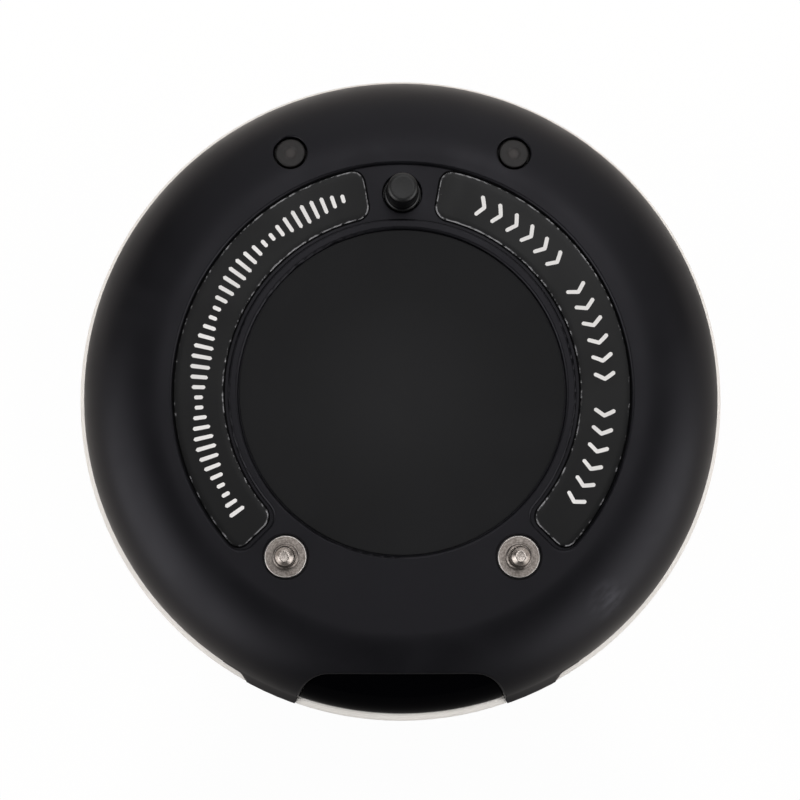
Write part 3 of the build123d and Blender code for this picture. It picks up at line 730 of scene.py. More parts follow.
@dataclass(frozen=True)
class ScuffedFinish(Finish):
    """Moulded surface with one pale scuff, such as the one on the cover's right shoulder."""

    scuff_place: Triple = (33.2, -33.2, 19.5)
    scuff_size: float = 5.0
    scuff_colour: Colour = (46, 46, 50)
    streak_size: float = 1.6
    streak_turn: float = 45.0
    streak_stretch: Triple = (2.2, 0.9, 1.0)
    streak_limits: Pair = (0.38, 0.7)

    def colouring(self, desk: NodeDesk, patch: Value) -> Value:
        """Colour with the scuff: streaked noise that fades with the distance from its middle.

        Args:
            desk: the material's nodes.
            patch: the handling patches, -1 to 1.

        Returns:
            The colour.
        """
        middle = tuple(length * MM for length in self.scuff_place)
        offset = desk.node("VectorMath", desk.place(), middle, operation="DISTANCE").outputs["Value"]
        near = desk.ramp(offset, self.scuff_size * MM, 0.0)
        turn = (0, 0, math.radians(self.streak_turn))
        streaks = desk.node("Mapping", vector_type="TEXTURE")
        desk.fill(streaks, {"Vector": desk.place(), "Rotation": turn, "Scale": self.streak_stretch})
        noise = desk.pattern("Noise", streaks.outputs["Vector"], self.streak_size, Detail=5.0)
        worn = desk.maths("MULTIPLY", near, desk.ramp(noise.outputs["Fac"], *self.streak_limits))
        return desk.tint(worn, super().colouring(desk, patch), linear(self.scuff_colour))


@dataclass(frozen=True)
class FilmFinish(Finish):
    """Printed film whose edges are rubbed pale, mostly at its two ends and along its inner edge."""

    rub_colour: Colour = (146, 145, 147)
    rub_width: float = 0.26
    rub_grain: float = 1.3
    rub_cover: float = 0.45
    rub_end_cover: float = 0.1
    rub_inner_cover: float = 0.06
    end_places: Pair = (13.0, 24.0)
    middle_r: float = 32.25

    def colouring(self, desk: NodeDesk, patch: Value) -> Value:
        """Colour of the film, rubbed pale along its edge.

        Args:
            desk: the material's nodes.
            patch: the handling patches, -1 to 1.

        Returns:
            The colour.
        """
        from_middle = desk.maths("ABSOLUTE", desk.along("Y", desk.place()))
        near_end = desk.ramp(from_middle, *(length * MM for length in self.end_places))
        inside = desk.maths("LESS_THAN", desk.measure("axis_mm"), self.middle_r)
        cover = desk.maths("MULTIPLY_ADD", near_end, self.rub_end_cover, self.rub_cover)
        worn = desk.use(
            Effects.rub(),
            Place=desk.place(),
            Edge=desk.measure("edge_mm"),
            Width=self.rub_width,
            Grain=self.rub_grain,
            Cover=desk.maths("MULTIPLY_ADD", inside, self.rub_inner_cover, cover),
        )
        return desk.tint(worn, super().colouring(desk, patch), linear(self.rub_colour))


@dataclass(frozen=True)
class PaleMiddleFinish(Finish):
    """Surface whose colour and roughness change towards its middle; the paler middle colour is painted
    light.
    """

    painted_middle_colour: Colour = (31, 31, 32)
    middle_roughness: float = 0.9
    fade_radius: float = 22.0
    full_radius: float = 0.0

    def colouring(self, desk: NodeDesk, patch: Value) -> Value:
        """Colour that fades from the middle outwards: a paler middle of painted light."""
        inner = desk.ramp(desk.measure("axis_mm"), self.fade_radius, self.full_radius)
        return desk.tint(inner, super().colouring(desk, patch), linear(self.painted_middle_colour))

    def polish(self, desk: NodeDesk, patch: Value) -> Value:
        """Roughness that changes towards the middle.

        Args:
            desk: the material's nodes.
            patch: the handling patches, -1 to 1.

        Returns:
            The roughness.
        """
        limits = (self.fade_radius, self.full_radius, self.roughness, self.middle_roughness)
        base = desk.ramp(desk.measure("axis_mm"), *limits)
        return desk.maths("MULTIPLY_ADD", patch, self.patch_roughness, base, clamp=True)


@dataclass(frozen=True)
class TurnedMetal(Finish):
    """Plated metal turned on a lathe: fine rings, mottled tone, and a painted highlight, bright outside a
    radius.
    """

    mottle_colour: Colour = (150, 141, 136)
    mottle_size: float = 0.5
    mottle_limits: Pair = (0.38, 0.62)
    ring_pitch: float = 0.05
    grain_share: float = 0.5
    # Pale colour outside a radius: a painted highlight on a rim.
    painted_highlight_colour: Colour = (236, 230, 225)
    painted_highlight_r: float = 100.0
    painted_highlight_fade: float = 0.03

    def colouring(self, desk: NodeDesk, patch: Value) -> Value:
        """Colour mottled by small noise, and bright outside the rim's radius as a painted highlight.

        Args:
            desk: the material's nodes.
            patch: the handling patches, -1 to 1; not used.

        Returns:
            The colour.
        """
        noise = desk.pattern("Noise", desk.place(), self.mottle_size, Detail=5.0, Roughness=0.65)
        share = desk.ramp(noise.outputs["Fac"], *self.mottle_limits)
        colour = desk.tint(share, linear(self.mottle_colour), linear(self.colour))
        limits = (self.painted_highlight_r - self.painted_highlight_fade, self.painted_highlight_r + self.painted_highlight_fade)
        return desk.tint(desk.ramp(desk.measure("axis_mm"), *limits), colour, linear(self.painted_highlight_colour))

    def relief(self, desk: NodeDesk) -> Value:
        """Height of the lathe tool's rings, with some grain over them."""
        rings = desk.use(Effects.turning(), Radius=desk.measure("axis_mm"), Pitch=self.ring_pitch)
        return desk.maths("MULTIPLY_ADD", super().relief(desk), self.grain_share, rings)


@dataclass(frozen=True)
class BoardFinish(Finish):
    """Printed circuit board: pale copper tracks under green lacquer."""

    track_colour: Colour = (38, 104, 62)
    track_pitch: float = 6.4
    track_w: float = 0.03
    track_stagger: float = 0.35

    def colouring(self, desk: NodeDesk, patch: Value) -> Value:
        """Colour with straight tracks, as the borders of a brick pattern.

        Args:
            desk: the material's nodes.
            patch: the handling patches, -1 to 1.

        Returns:
            The colour.
        """
        tracks = desk.pattern("Brick", desk.place(), self.track_pitch, **{"Mortar Size": self.track_w})
        tracks.offset, tracks.squash = self.track_stagger, 1.0
        return desk.tint(tracks.outputs["Fac"], super().colouring(desk, patch), linear(self.track_colour))


@dataclass(frozen=True)
class WoundFinish(Finish):
    """Lacquered copper wire wound closely along X."""

    wire_pitch: float = 0.3

    def relief(self, desk: NodeDesk) -> Value:
        """Height of the turns, (1 + sin(2 pi x / pitch)) / 2."""
        phase = desk.maths("MULTIPLY", desk.along("X", desk.place()), TURN / (self.wire_pitch * MM))
        return desk.maths("MULTIPLY_ADD", desk.maths("SINE", phase), 0.5, 0.5)


COVER_BLACK = ScuffedFinish(
    "cover_black",
    (8, 8, 10),
    0.4,
    specular=0.18,
    specular_tint=(246, 243, 255),
    grain_size=0.18,
    grain_depth=0.002,
    dust_share=0.16,
)
# Paler top is painted light, and the darker rounded edge and sides are painted shade.
KEY_BLACK = PaleMiddleFinish(
    "key_black",
    (6, 6, 7),
    0.26,
    specular=0.35,
    grain_size=0.2,
    painted_middle_colour=(13, 13, 14),
    middle_roughness=0.45,
    fade_radius=2.6,
    full_radius=1.5,
)
BASE_MILKY = Finish(
    "base_milky",
    (221, 217, 212),
    0.38,
    scatter=0.35,
    grain_size=0.5,
    grain_depth=0.002,
    patch_tone=0.012,
)
WINDOW_BLACK = Finish(
    "window_black",
    (2, 2, 3),
    0.09,
    specular=0.015,
    grain_size=1.5,
    grain_depth=0.0006,
    patch_roughness=0.03,
    dust_share=0.2,
    dust_colour=(60, 60, 62),
)
# Paler middle is a painted soft highlight at the disc's centre.
DISC_BLACK = PaleMiddleFinish(
    "disc_black", (25, 25, 26), 0.9, specular=0.14, grain_size=0.22, grain_depth=0.01, patch_size=20.0
)
LABEL_FILM = FilmFinish(
    "label_film", (8, 8, 9), 0.38, specular=0.17, grain_size=0.6, grain_depth=0.002, dust_share=0.1
)
LABEL_INK = Finish(
    "label_ink", (216, 213, 211), 0.5, specular=0.4, grain_size=0.3, grain_depth=0.003, patch_tone=0.03
)
# Near-black sheet round each label: painted shadow in the gap between label and groove wall.
LABEL_GAP_SHADE = Finish("label_gap_shade", (4, 4, 5), 0.8, specular=0.08, grain_size=0.4)
# Paler middle is a painted highlight at the plug's centre.
PLUG_RUBBER = PaleMiddleFinish(
    "plug_rubber",
    (32, 30, 30),
    0.6,
    specular=0.3,
    grain_size=0.3,
    grain_depth=0.008,
    patch_size=1.2,
    patch_tone=0.1,
    painted_middle_colour=(58, 54, 53),
    middle_roughness=0.6,
    fade_radius=1.35,
)
# The pale ring outside 3.17 mm is a painted highlight on the flange's bevelled rim.
CONTACT_NICKEL = TurnedMetal(
    "contact_nickel",
    (146, 139, 134),
    0.34,
    metallic=1.0,
    grain_size=0.1,
    grain_depth=0.0015,
    mottle_colour=(108, 101, 96),
    mottle_size=0.3,
    painted_highlight_r=3.17,
)
PIN_NICKEL = TurnedMetal(
    "pin_nickel",
    (184, 176, 170),
    0.24,
    metallic=1.0,
    grain_size=0.2,
    grain_depth=0.0015,
    mottle_colour=(150, 142, 136),
    mottle_size=0.25,
)
SPRING_STEEL = TurnedMetal("spring_steel", (176, 176, 178), 0.28, metallic=1.0, grain_depth=0.001)
FOOT_RUBBER = Finish("foot_rubber", (40, 40, 41), 0.75, specular=0.25, grain_size=0.4, grain_depth=0.012)

INNER_FINISHES = (
    CONTACT_NICKEL,
    TurnedMetal("screw_steel", (186, 188, 190), 0.3, metallic=1.0, grain_depth=0.002),
    Finish("part_black", (24, 24, 26), 0.5, grain_size=0.3),
    Finish("part_white", (224, 222, 214), 0.42, patch_tone=0.02),
    Finish("switch_red", (176, 32, 30), 0.4, patch_tone=0.04),
    BoardFinish("board_green", (16, 74, 42), 0.34, grain_depth=0.006),
    Finish("led_yellow", (236, 216, 140), 0.3, patch_tone=0.03),
    Finish(
        "battery_foil", (184, 187, 192), 0.34, metallic=0.85, grain_size=3, grain_depth=0.08, patch_size=6
    ),
    Finish("foam_grey", (84, 86, 88), 0.95, specular=0.1, grain_size=0.5, grain_depth=0.2),
    Finish("lead_red", (170, 26, 24), 0.4, grain_size=0.6),
    TurnedMetal("motor_steel", (190, 192, 194), 0.26, metallic=1.0, grain_depth=0.001),
    Finish("sleeve_rubber", (30, 30, 31), 0.7, specular=0.25, grain_depth=0.01),
    TurnedMetal("weight_tungsten", (120, 120, 124), 0.4, metallic=1.0),
    Finish("shield_tin", (196, 198, 200), 0.3, metallic=1.0, grain_size=1.2, grain_depth=0.003),
    Finish("ferrite", (44, 44, 47), 0.6, grain_size=0.3, grain_depth=0.015),
    WoundFinish("copper_wire", (176, 92, 48), 0.3, metallic=0.9, grain_depth=0.12),
)


def new_object(name: str, data: bpy.types.ID, even: bool = False) -> bpy.types.Object:
    """Put a mesh or a camera into the scene at the origin.

    Args:
        name: name of the object.
        data: its mesh or camera.
        even: whether large faces decide the shading next to small ones.

    Returns:
        The object.
    """
    made = bpy.data.objects.new(name, data)
    bpy.context.scene.collection.objects.link(made)
    if even:
        made.modifiers.new("even_shading", "WEIGHTED_NORMAL").keep_sharp = True
    return made


def show(
    name: str,
    mesh: bpy.types.Mesh,
    finish: Finish,
    stands_for: tuple[str, ...] = (),
    body: Body = Body.CASE,
    weighted: bool = True,
) -> bpy.types.Object:
    """Make a piece from a finished mesh and put it on its body.

    Args:
        name: name of the piece.
        mesh: its mesh, in metres and in place.
        finish: its finish.
        stands_for: nodes that it replaces.
        body: body that it rides on.
        weighted: whether large faces decide the shading next to small ones.

    Returns:
        The piece.
    """
    piece = new_object(name, mesh, weighted)
    mesh.materials.clear()
    mesh.materials.append(finish.material())
    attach(piece, body.value)
    if stands_for:
        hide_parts(*stands_for)
    log.info("%s: %d faces on %s", name, len(mesh.polygons), body.value)
    return piece


@dataclass
class Shells:
    """Cover, base and window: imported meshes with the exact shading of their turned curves."""

    plateau_r: float = 38.0
    band_z: float = 9.5
    shoulder_w: float = 13.55
    shoulder_h: float = 12.0
    cover_wall: float = 2.0
    window_side_drop: float = 0.3
    window_top_drop: float = 1.8
    base_flat_r: float = 44.5
    base_widest_z: float = 6.7
    base_corner_w: float = 8.0
    base_corner_h: float = 6.1
    base_wall: float = 2.2
    base_floor: float = 1.8
    base_side_r: float = 1.8382
    side_tolerance: float = 0.001

    def dome(self, radius: np.ndarray | float) -> np.ndarray | float:
        """Height of the shoulder, an ellipse from the flat's edge: Z + b sqrt(1 - ((r - R) / a) ** 2)."""
        share = np.clip((radius - self.plateau_r) / self.shoulder_w, 0, 1)
        return self.band_z + self.shoulder_h * np.sqrt(1 - share**2)

    def _drawn_in(self, side: float, top: float) -> TurnedCurve:
        """Curve of the shoulder, drawn in at the side and at the top."""
        return TurnedCurve(self.plateau_r, self.band_z, self.shoulder_w - side, self.shoulder_h - top)

    def _copy(self, node: str, curves: list[TurnedCurve]) -> bpy.types.Mesh:
        """Merge a copy of a node's mesh and shade its turned curves exactly.

        Args:
            node: name of the node.
            curves: its turned curves.

        Returns:
            The mesh.
        """
        mesh = frame["nodes"][node].data.copy()
        merge(mesh, turn_outwards=False)
        helper = new_object("shading_helper", mesh, even=True)
        bpy.context.view_layer.update()
        shaded = bpy.data.meshes.new_from_object(helper.evaluated_get(bpy.context.evaluated_depsgraph_get()))
        bpy.data.objects.remove(helper)
        true_normals(shaded, curves)
        return shaded

    def build(self) -> None:
        """Make the three shells."""
        outside, inside = self._drawn_in(0, 0), self._drawn_in(self.cover_wall, self.cover_wall)
        pad = self._drawn_in(self.window_side_drop, self.window_top_drop)
        corner = TurnedCurve(self.base_flat_r, self.base_widest_z, self.base_corner_w, self.base_corner_h)
        inner_w, inner_h = self.base_corner_w - self.base_wall, self.base_corner_h - self.base_floor
        hollow = replace(corner, half_w=inner_w, half_h=inner_h)
        round_r = self.base_side_r
        side_r = self.base_flat_r + self.base_corner_w - round_r
        side = TurnedCurve(side_r, self.base_widest_z, round_r, round_r, self.side_tolerance)
        for node, finish, curves in (
            ("top_cover", COVER_BLACK, [outside, inside]),
            ("front_window", WINDOW_BLACK, [pad, inside]),
            ("base_shell", BASE_MILKY, [corner, hollow, side]),
        ):
            mesh = self._copy(node, curves)
            show(f"{node}_skin", mesh, finish, (node,), weighted=False)


@dataclass(frozen=True)
class ArcStrip:
    """Flat strip between two radii and two angles from +Y, with rounded corners."""

    side: Side
    inner_r: float
    outer_r: float
    start: float
    stop: float
    corner_r: float

    def grown(self, by: float) -> "ArcStrip":
        """Grow the strip by the same distance all round.

        Args:
            by: distance, below 0 to shrink it.

        Returns:
            The grown strip.
        """
        turn = math.degrees(2 * by / (self.inner_r + self.outer_r))
        radii = (self.inner_r - by, self.outer_r + by)
        return ArcStrip(self.side, *radii, self.start - turn, self.stop + turn, self.corner_r + by)

    def grid(self, rows: int = 9, corner_steps: int = 10, middle_steps: int = 150) -> np.ndarray:
        """Points of the strip in plan.

        A column lies at one angle a. Its radii run evenly between an inner and an outer limit. Within R of
        an end, at a distance e from it, a limit draws in by R - sqrt(R ** 2 - (R - e) ** 2).

        Args:
            rows: points across the strip.
            corner_steps: spans in each corner.
            middle_steps: spans between the corners.

        Returns:
            Grid of (x, y), rows across and columns along.
        """
        start, stop = math.radians(self.start), math.radians(self.stop)
        curve = 1 - np.cos(np.linspace(0, math.pi / 2, corner_steps + 1))
        corner = curve * self.corner_r / self.inner_r
        middle = np.linspace(start + corner[-1], stop - corner[-1], middle_steps + 1)[1:-1]
        angle = np.concatenate([start + corner, middle, stop - corner[::-1]])
        from_end = np.minimum(angle - start, stop - angle)

        def draw_in(radius: float) -> np.ndarray:
            """Inset of the limit at a radius."""
            left = np.clip(self.corner_r - from_end * radius, 0, self.corner_r)
            return self.corner_r - np.sqrt(self.corner_r**2 - left**2)

        low = self.inner_r + draw_in(self.inner_r)
        high = self.outer_r - draw_in(self.outer_r)
        radius = low + (high - low) * np.linspace(0, 1, rows)[:, None]
        return np.stack([self.side.sign * radius * np.sin(angle), radius * np.cos(angle)], axis=-1)

    def outline(self) -> np.ndarray:
        """Border of the grid, once round."""
        grid = self.grid()
        return np.vstack([grid[0, :-1], grid[:-1, -1], grid[-1, :0:-1], grid[:0:-1, 0]])

    def edge_distance(self, points: np.ndarray) -> np.ndarray:
        """Distance of points in plan from the strip's border.

        With u along and v across from the middle, and q = (|u| - U + R, |v| - V + R), it is
        R - |max(q, 0)| - min(max(q), 0).

        Args:
            points: points of (x, y) inside the strip.

        Returns:
            The distances.
        """
        radius = np.linalg.norm(points, axis=-1)
        angle = np.arctan2(self.side.sign * points[..., 0], points[..., 1])
        start, stop = math.radians(self.start), math.radians(self.stop)
        along = np.abs(angle - (start + stop) / 2) - (stop - start) / 2
        across = np.abs(radius - (self.inner_r + self.outer_r) / 2) - (self.outer_r - self.inner_r) / 2
        corner = np.stack([along * radius, across], axis=-1) + self.corner_r
        outside = np.linalg.norm(np.maximum(corner, 0), axis=-1)
        return np.maximum(self.corner_r - outside - np.minimum(corner.max(axis=-1), 0), 0)


@dataclass
class Labels:
    """Arc labels in the groove, with rows of generic marks printed on them."""

    inner_r: float = 28.35
    outer_r: float = 36.15
    start: float = 10.25
    stop: float = 134.3
    corner_r: float = 2.0
    edge_round: float = 0.07
    mark_start: float = 17.0
    mark_stop: float = 126.0
    mark_middle_r: float = 32.25
    mark_pitch: float = 1.55
    mark_height: float = 3.4
    pulse_bars: int = 9
    pulse_least: float = 0.3
    pulse_points: int = 13
    chevron_points: int = 25
    stroke_w: float = 0.62
    chevron_depth: float = 1.0
    chevron_pitch: float = 2.7
    chevron_group: int = 6
    ink_t: float = 0.012
    # Width and thickness of the dark sheet of painted shadow round each label.
    gap_shade_w: float = 0.28
    gap_shade_t: float = 0.03

    def _strip(self, side: Side) -> ArcStrip:
        """Outline of one label."""
        return ArcStrip(side, self.inner_r, self.outer_r, self.start, self.stop, self.corner_r)

    def _film(self, side: Side) -> bpy.types.Mesh:
        """Film of one label: a flat top and bottom, with a wall between them rounded at its upper edge.

        Args:
            side: which label.

        Returns:
            The mesh.
        """
        node = Span.of(f"label_{side.value}")
        strip = self._strip(side)
        turn = np.linspace(0, math.pi / 2, 5)
        insets = np.concatenate([[0.0], self.edge_round * (1 - np.cos(turn))])
        heights = np.concatenate([[node.bottom], node.top - self.edge_round * (1 - np.sin(turn))])
        loops = [strip.grown(-inset).outline() for inset in insets]
        wall = np.stack([level(loop, height) for loop, height in zip(loops, heights)])
        top = strip.grown(-self.edge_round).grid()
        form = Form()
        form.add(wall, around=True, edge=np.zeros(wall.shape[:2]))
        form.add(level(top, node.top), edge=strip.edge_distance(top))
        form.add(level(strip.grid(), node.bottom))
        return form.mesh(f"label_film_{side.value}")

    def _gap_shade(self, side: Side) -> bpy.types.Mesh:
        """Dark film of painted shadow that fills the groove's floor round one label, standing for the shade
        in the gap beside the label.

        Args:
            side: which label.

        Returns:
            The mesh.
        """
        low = Span.of(f"label_{side.value}").bottom
        strip = self._strip(side).grown(self.gap_shade_w)
        heights = (low, low + self.gap_shade_t)
        wall = np.stack([level(strip.outline(), height) for height in heights])
        form = Form().add(wall, around=True)
        for height in heights:
            form.add(level(strip.grid(), height))
        return form.mesh(f"label_gap_shade_{side.value}")

    def _strokes(self, kind: Mark) -> list[np.ndarray]:
        """Paths of the printed marks, as distance along the arc and height across it.

        Pulse bars swell and fade in groups by sin of the place in the group. Chevrons stand in groups too.

        Args:
            kind: which mark.

        Returns:
            One path of points for each stroke.
        """
        length = math.radians(self.mark_stop - self.mark_start) * self.mark_middle_r
        if kind is Mark.PULSE:
            count = int(length / self.mark_pitch)
            place = np.arange(count) * length / (count - 1)
            phase = (np.arange(count) % self.pulse_bars + 0.5) / self.pulse_bars
            swell = self.pulse_least + (1 - self.pulse_least) * np.sin(phase * math.pi)
            across = np.linspace(-1, 1, self.pulse_points)
            ends = zip(place, self.mark_height / 2 * swell)
            return [np.stack([np.full_like(across, u), v * across], axis=-1) for u, v in ends]
        count = int(length / self.chevron_pitch)
        places = [n * length / (count - 1) for n in range(count) if n % (self.chevron_group + 1)]
        across = np.linspace(-1, 1, self.chevron_points)
        lean = self.chevron_depth * (1 - np.abs(across))
        return [np.stack([u + lean, across * self.mark_height / 2], axis=-1) for u in places]

    def _ink(self, side: Side, kind: Mark) -> bpy.types.Mesh:
        """Printed marks of one label, each a thin stroke with round ends.

        A stroke is w wide, and within w / 2 of an end, at a distance s from it, its half width is
        sqrt((w / 2) ** 2 - (w / 2 - s) ** 2).

        Args:
            side: which label.
            kind: which mark.

        Returns:
            The mesh.
        """
        top = Span.of(f"label_{side.value}").top
        form = Form()
        for path in self._strokes(kind):
            step = np.gradient(path, axis=0)
            step /= np.linalg.norm(step, axis=1, keepdims=True)
            normal = np.stack([-step[:, 1], step[:, 0]], axis=-1)
            travelled = np.concatenate([[0], np.cumsum(np.linalg.norm(np.diff(path, axis=0), axis=1))])
            from_end = np.minimum(travelled, travelled[-1] - travelled)
            end_r = self.stroke_w / 2
            half = np.sqrt(end_r**2 - np.clip(end_r - from_end, 0, end_r) ** 2)[:, None]
            lines = np.stack([path + normal * half, path - normal * half])
            angle = math.radians(self.mark_start) + lines[..., 0] / self.mark_middle_r
            radius = self.mark_middle_r + lines[..., 1]
            left, right = np.stack([side.sign * radius * np.sin(angle), radius * np.cos(angle)], axis=-1)
            low, high = top, top + self.ink_t
            rim = [level(left, low), level(left, high), level(right, high), level(right, low)]
            form.add(np.stack([*rim, rim[0]]))
        return form.mesh(f"label_ink_{side.value}")

    def build(self) -> None:
        """Make both labels and their marks."""
        for side, kind in ((Side.LEFT, Mark.PULSE), (Side.RIGHT, Mark.CHEVRON)):
            node = f"label_{side.value}"
            show(f"{node}_film", self._film(side), LABEL_FILM, (node,))
            # The dark sheet round the label is painted shadow in the gap to the groove wall.
            show(f"{node}_gap_shade", self._gap_shade(side), LABEL_GAP_SHADE)
            show(f"{node}_marks", self._ink(side, kind), LABEL_INK)


@dataclass
class CentreDisc:
    """Very matt disc in the middle recess."""

    edge_round: float = 0.12
    dish: float = 0.05
    rings: int = 24
    steps: int = 256

    def build(self) -> None:
        """Turn the disc: flat below, and dished a little above by d (1 - (r / R) ** 2)."""
        node = Span.of("centre_disc")
        radius = np.linspace(0, node.radius - self.edge_round, self.rings)
        dished = node.top - self.dish * (1 - (radius / node.radius) ** 2)
        rim = rounded(
            (radius[-1], node.top, 0),
            (node.radius, node.top, self.edge_round),
            (node.radius, node.bottom, self.edge_round),
            (0, node.bottom, 0),
        )
        profile = np.vstack([np.column_stack([radius, dished]), rim[1:]])
        mesh = Form().turn(profile, node.axis, self.steps).mesh("centre_disc_pad")
        show("centre_disc_pad", mesh, DISC_BLACK, ("centre_disc",))


@dataclass
class Contact:
    """Spring contact on one side: barrel, plunger and spring."""

    side: Side
    flange_r: float = 3.35
    flange_low: float = 20.7
    flange_top: float = 21.4
    flange_bevel: float = 0.14
    flange_round: float = 0.03
    bevel_margin: float = 0.08
    edge_round: float = 0.05
    lip_round: float = 0.04
    relief_w: float = 0.25
    collar_r: float = 2.05
    collar_bevel: float = 0.22
    thread_r: float = 2.5
    thread_pitch: float = 0.5
    thread_depth: float = 0.16
    thread_steps: int = 120
    barrel_steps: int = 128
    tail_r: float = 0.6
    bottom: float = 13.0
    bore_r: float = 1.95
    bore_low: float = 14.4
    lip_t: float = 0.9
    lip_r: float = 1.7
    pin_r: float = 1.58
    pin_flat_r: float = 0.86
    pin_chamfer_h: float = 0.72
    pin_round: float = 0.6
    pin_dish: float = 0.05
    pin_dish_w: float = 0.2
    pin_rim_w: float = 0.12
    pin_base_round: float = 0.1
    pin_base_top: float = 21.1
    spring_r: float = 1.5
    spring_wire_r: float = 0.175
    spring_turns: float = 6
    spring_keep: float = 0.583

    def _barrel(self) -> bpy.types.Mesh:
        """Turn the barrel: tail, thread, flange, relief groove, and collar round the plunger.

        The thread's radius is r - d (1 - cos(2 pi z / pitch)) / 2.

        Returns:
            The mesh.
        """
        node = Span.of(f"contact_barrel_{self.side.value}")
        height = np.linspace(self.bottom, self.flange_low, self.thread_steps + 1)
        wave = (1 - np.cos(TURN * (height - self.bottom) / self.thread_pitch)) / 2
        thread = np.column_stack([self.thread_r - self.thread_depth * wave, height])
        low = [(0, node.bottom), (self.tail_r, node.bottom), (self.tail_r, self.bottom)]
        bevel_r, groove_r = self.flange_r - self.flange_bevel, self.collar_r + self.relief_w
        groove_z, bore_top = self.flange_top - self.relief_w, node.top - self.lip_t
        head = rounded(
            (self.thread_r, self.flange_low, 0),
            (self.flange_r, self.flange_low, self.edge_round),
            (self.flange_r, self.flange_top - self.flange_bevel, self.flange_round),
            (bevel_r, self.flange_top, self.flange_round),
            (bevel_r - self.bevel_margin, self.flange_top, 0),
            (groove_r + self.relief_w, self.flange_top, 0),
            (groove_r, self.flange_top, 0),
            (groove_r, groove_z, 0),
            (self.collar_r, groove_z, 0),
            (self.collar_r, node.top - self.collar_bevel, self.edge_round),
            (self.collar_r - self.collar_bevel, node.top, self.lip_round),
            (self.lip_r, node.top, self.lip_round),
            (self.lip_r, bore_top, 0),
            (self.bore_r, bore_top, 0),
            (self.bore_r, self.bore_low, 0),
            (0, self.bore_low, 0),
        )
        profile = np.vstack([low, thread, head[1:]])
        form = Form().turn(profile, node.axis, self.barrel_steps)
        return form.mesh(f"contact_barrel_turned_{self.side.value}")

    def _pin(self) -> bpy.types.Mesh:
        """Turn the plunger: a base under the collar's lip, and a tip rounded and chamfered to a small flat.

        Returns:
            The mesh.
        """
        node = Span.of(f"contact_pin_{self.side.value}")
        dish_z = node.top - self.pin_dish
        profile = rounded(
            (0, node.bottom, 0),
            (node.radius, node.bottom, self.pin_base_round),
            (node.radius, self.pin_base_top, self.pin_base_round),
            (self.pin_r, self.pin_base_top, 0),
            (self.pin_r, node.top - self.pin_chamfer_h, self.pin_round),
            (self.pin_flat_r, node.top, self.edge_round),
            (self.pin_flat_r - self.pin_rim_w, node.top, self.edge_round),
            (self.pin_flat_r - self.pin_dish_w, dish_z, self.lip_round),
            (0, dish_z, 0),
        )
        return Form().turn(profile, node.axis).mesh(f"contact_pin_turned_{self.side.value}")

    def _spring(self) -> bpy.types.Mesh:
        """Wind the spring under the plunger.

        Returns:
            The mesh.
        """
        barrel = Span.of(f"contact_barrel_{self.side.value}")
        node = Span.of(f"contact_spring_{self.side.value}")
        ends = (node.bottom, node.top)
        wire = coil(barrel.axis, ends, self.spring_r, self.spring_wire_r, self.spring_turns)
        return Form().add(wire, around=True, axis=barrel.axis).mesh(f"contact_coil_{self.side.value}")

    def build(self) -> None:
        """Make the contact's three pieces."""
        name = self.side.value
        barrel = f"contact_barrel_{name}"
        show(f"{barrel}_turned", self._barrel(), CONTACT_NICKEL, (barrel,))
        pin = f"contact_pin_{name}"
        show(f"{pin}_turned", self._pin(), PIN_NICKEL, (pin,), self.side.contact)
        node = f"contact_spring_{name}"
        spring = show(f"{node}_coil", self._spring(), SPRING_STEEL, (node,))
        middle = Span.of(barrel).axis
        Span.of(node).bottom * MM
        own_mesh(spring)


@dataclass
class Key:
    """Round key between the labels, with its return spring."""

    stem_r: float = 1.8
    flange_low: float = 18.4
    flange_top: float = 19.4
    step_r: float = 2.88
    step_top: float = 20.5
    cap_r: float = 2.45
    step_fillet: float = 0.4
    step_round: float = 0.16
    stem_round: float = 0.2
    edge_round: float = 0.1
    top_round: float = 0.75
    round_steps: int = 10
    dish: float = 0.06
    dish_rings: int = 7
    spring_r: float = 2.6
    spring_wire_r: float = 0.25
    spring_turns: float = 4
    spring_keep: float = 0.83

    def build(self) -> None:
        """Make the cap and its spring. The cap's top is dished by d (1 - (r / R) ** 2)."""
        node = Span.of("key_cap")
        outside = rounded(
            (0, node.bottom, 0),
            (self.stem_r, node.bottom, self.stem_round),
            (self.stem_r, self.flange_low, 0),
            (node.radius, self.flange_low, self.edge_round),
            (node.radius, self.flange_top, self.edge_round),
            (self.step_r, self.flange_top, self.edge_round),
            (self.step_r, self.step_top, self.step_round),
            (self.cap_r, self.step_top, self.step_fillet),
            (self.cap_r, node.top, self.top_round),
            (0, node.top, 0),
            steps=self.round_steps,
        )[:-1]
        flat_r = outside[-1, 0]
        radius = np.linspace(flat_r, 0, self.dish_rings + 1)[1:]
        dished = node.top - self.dish * (1 - (radius / flat_r) ** 2)
        profile = np.vstack([outside, np.column_stack([radius, dished])])
        mesh = Form().turn(profile, node.axis).mesh("key_cap_moulded")
        show("key_cap_moulded", mesh, KEY_BLACK, ("key_cap",), Body.KEY)
        spring = Span.of("key_spring")
        ends = (spring.bottom, spring.top)
        wire = coil(node.axis, ends, self.spring_r, self.spring_wire_r, self.spring_turns)
        mesh = Form().add(wire, around=True, axis=node.axis).mesh("key_coil")
        piece = show("key_spring_coil", mesh, SPRING_STEEL, ("key_spring",))
        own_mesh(piece)


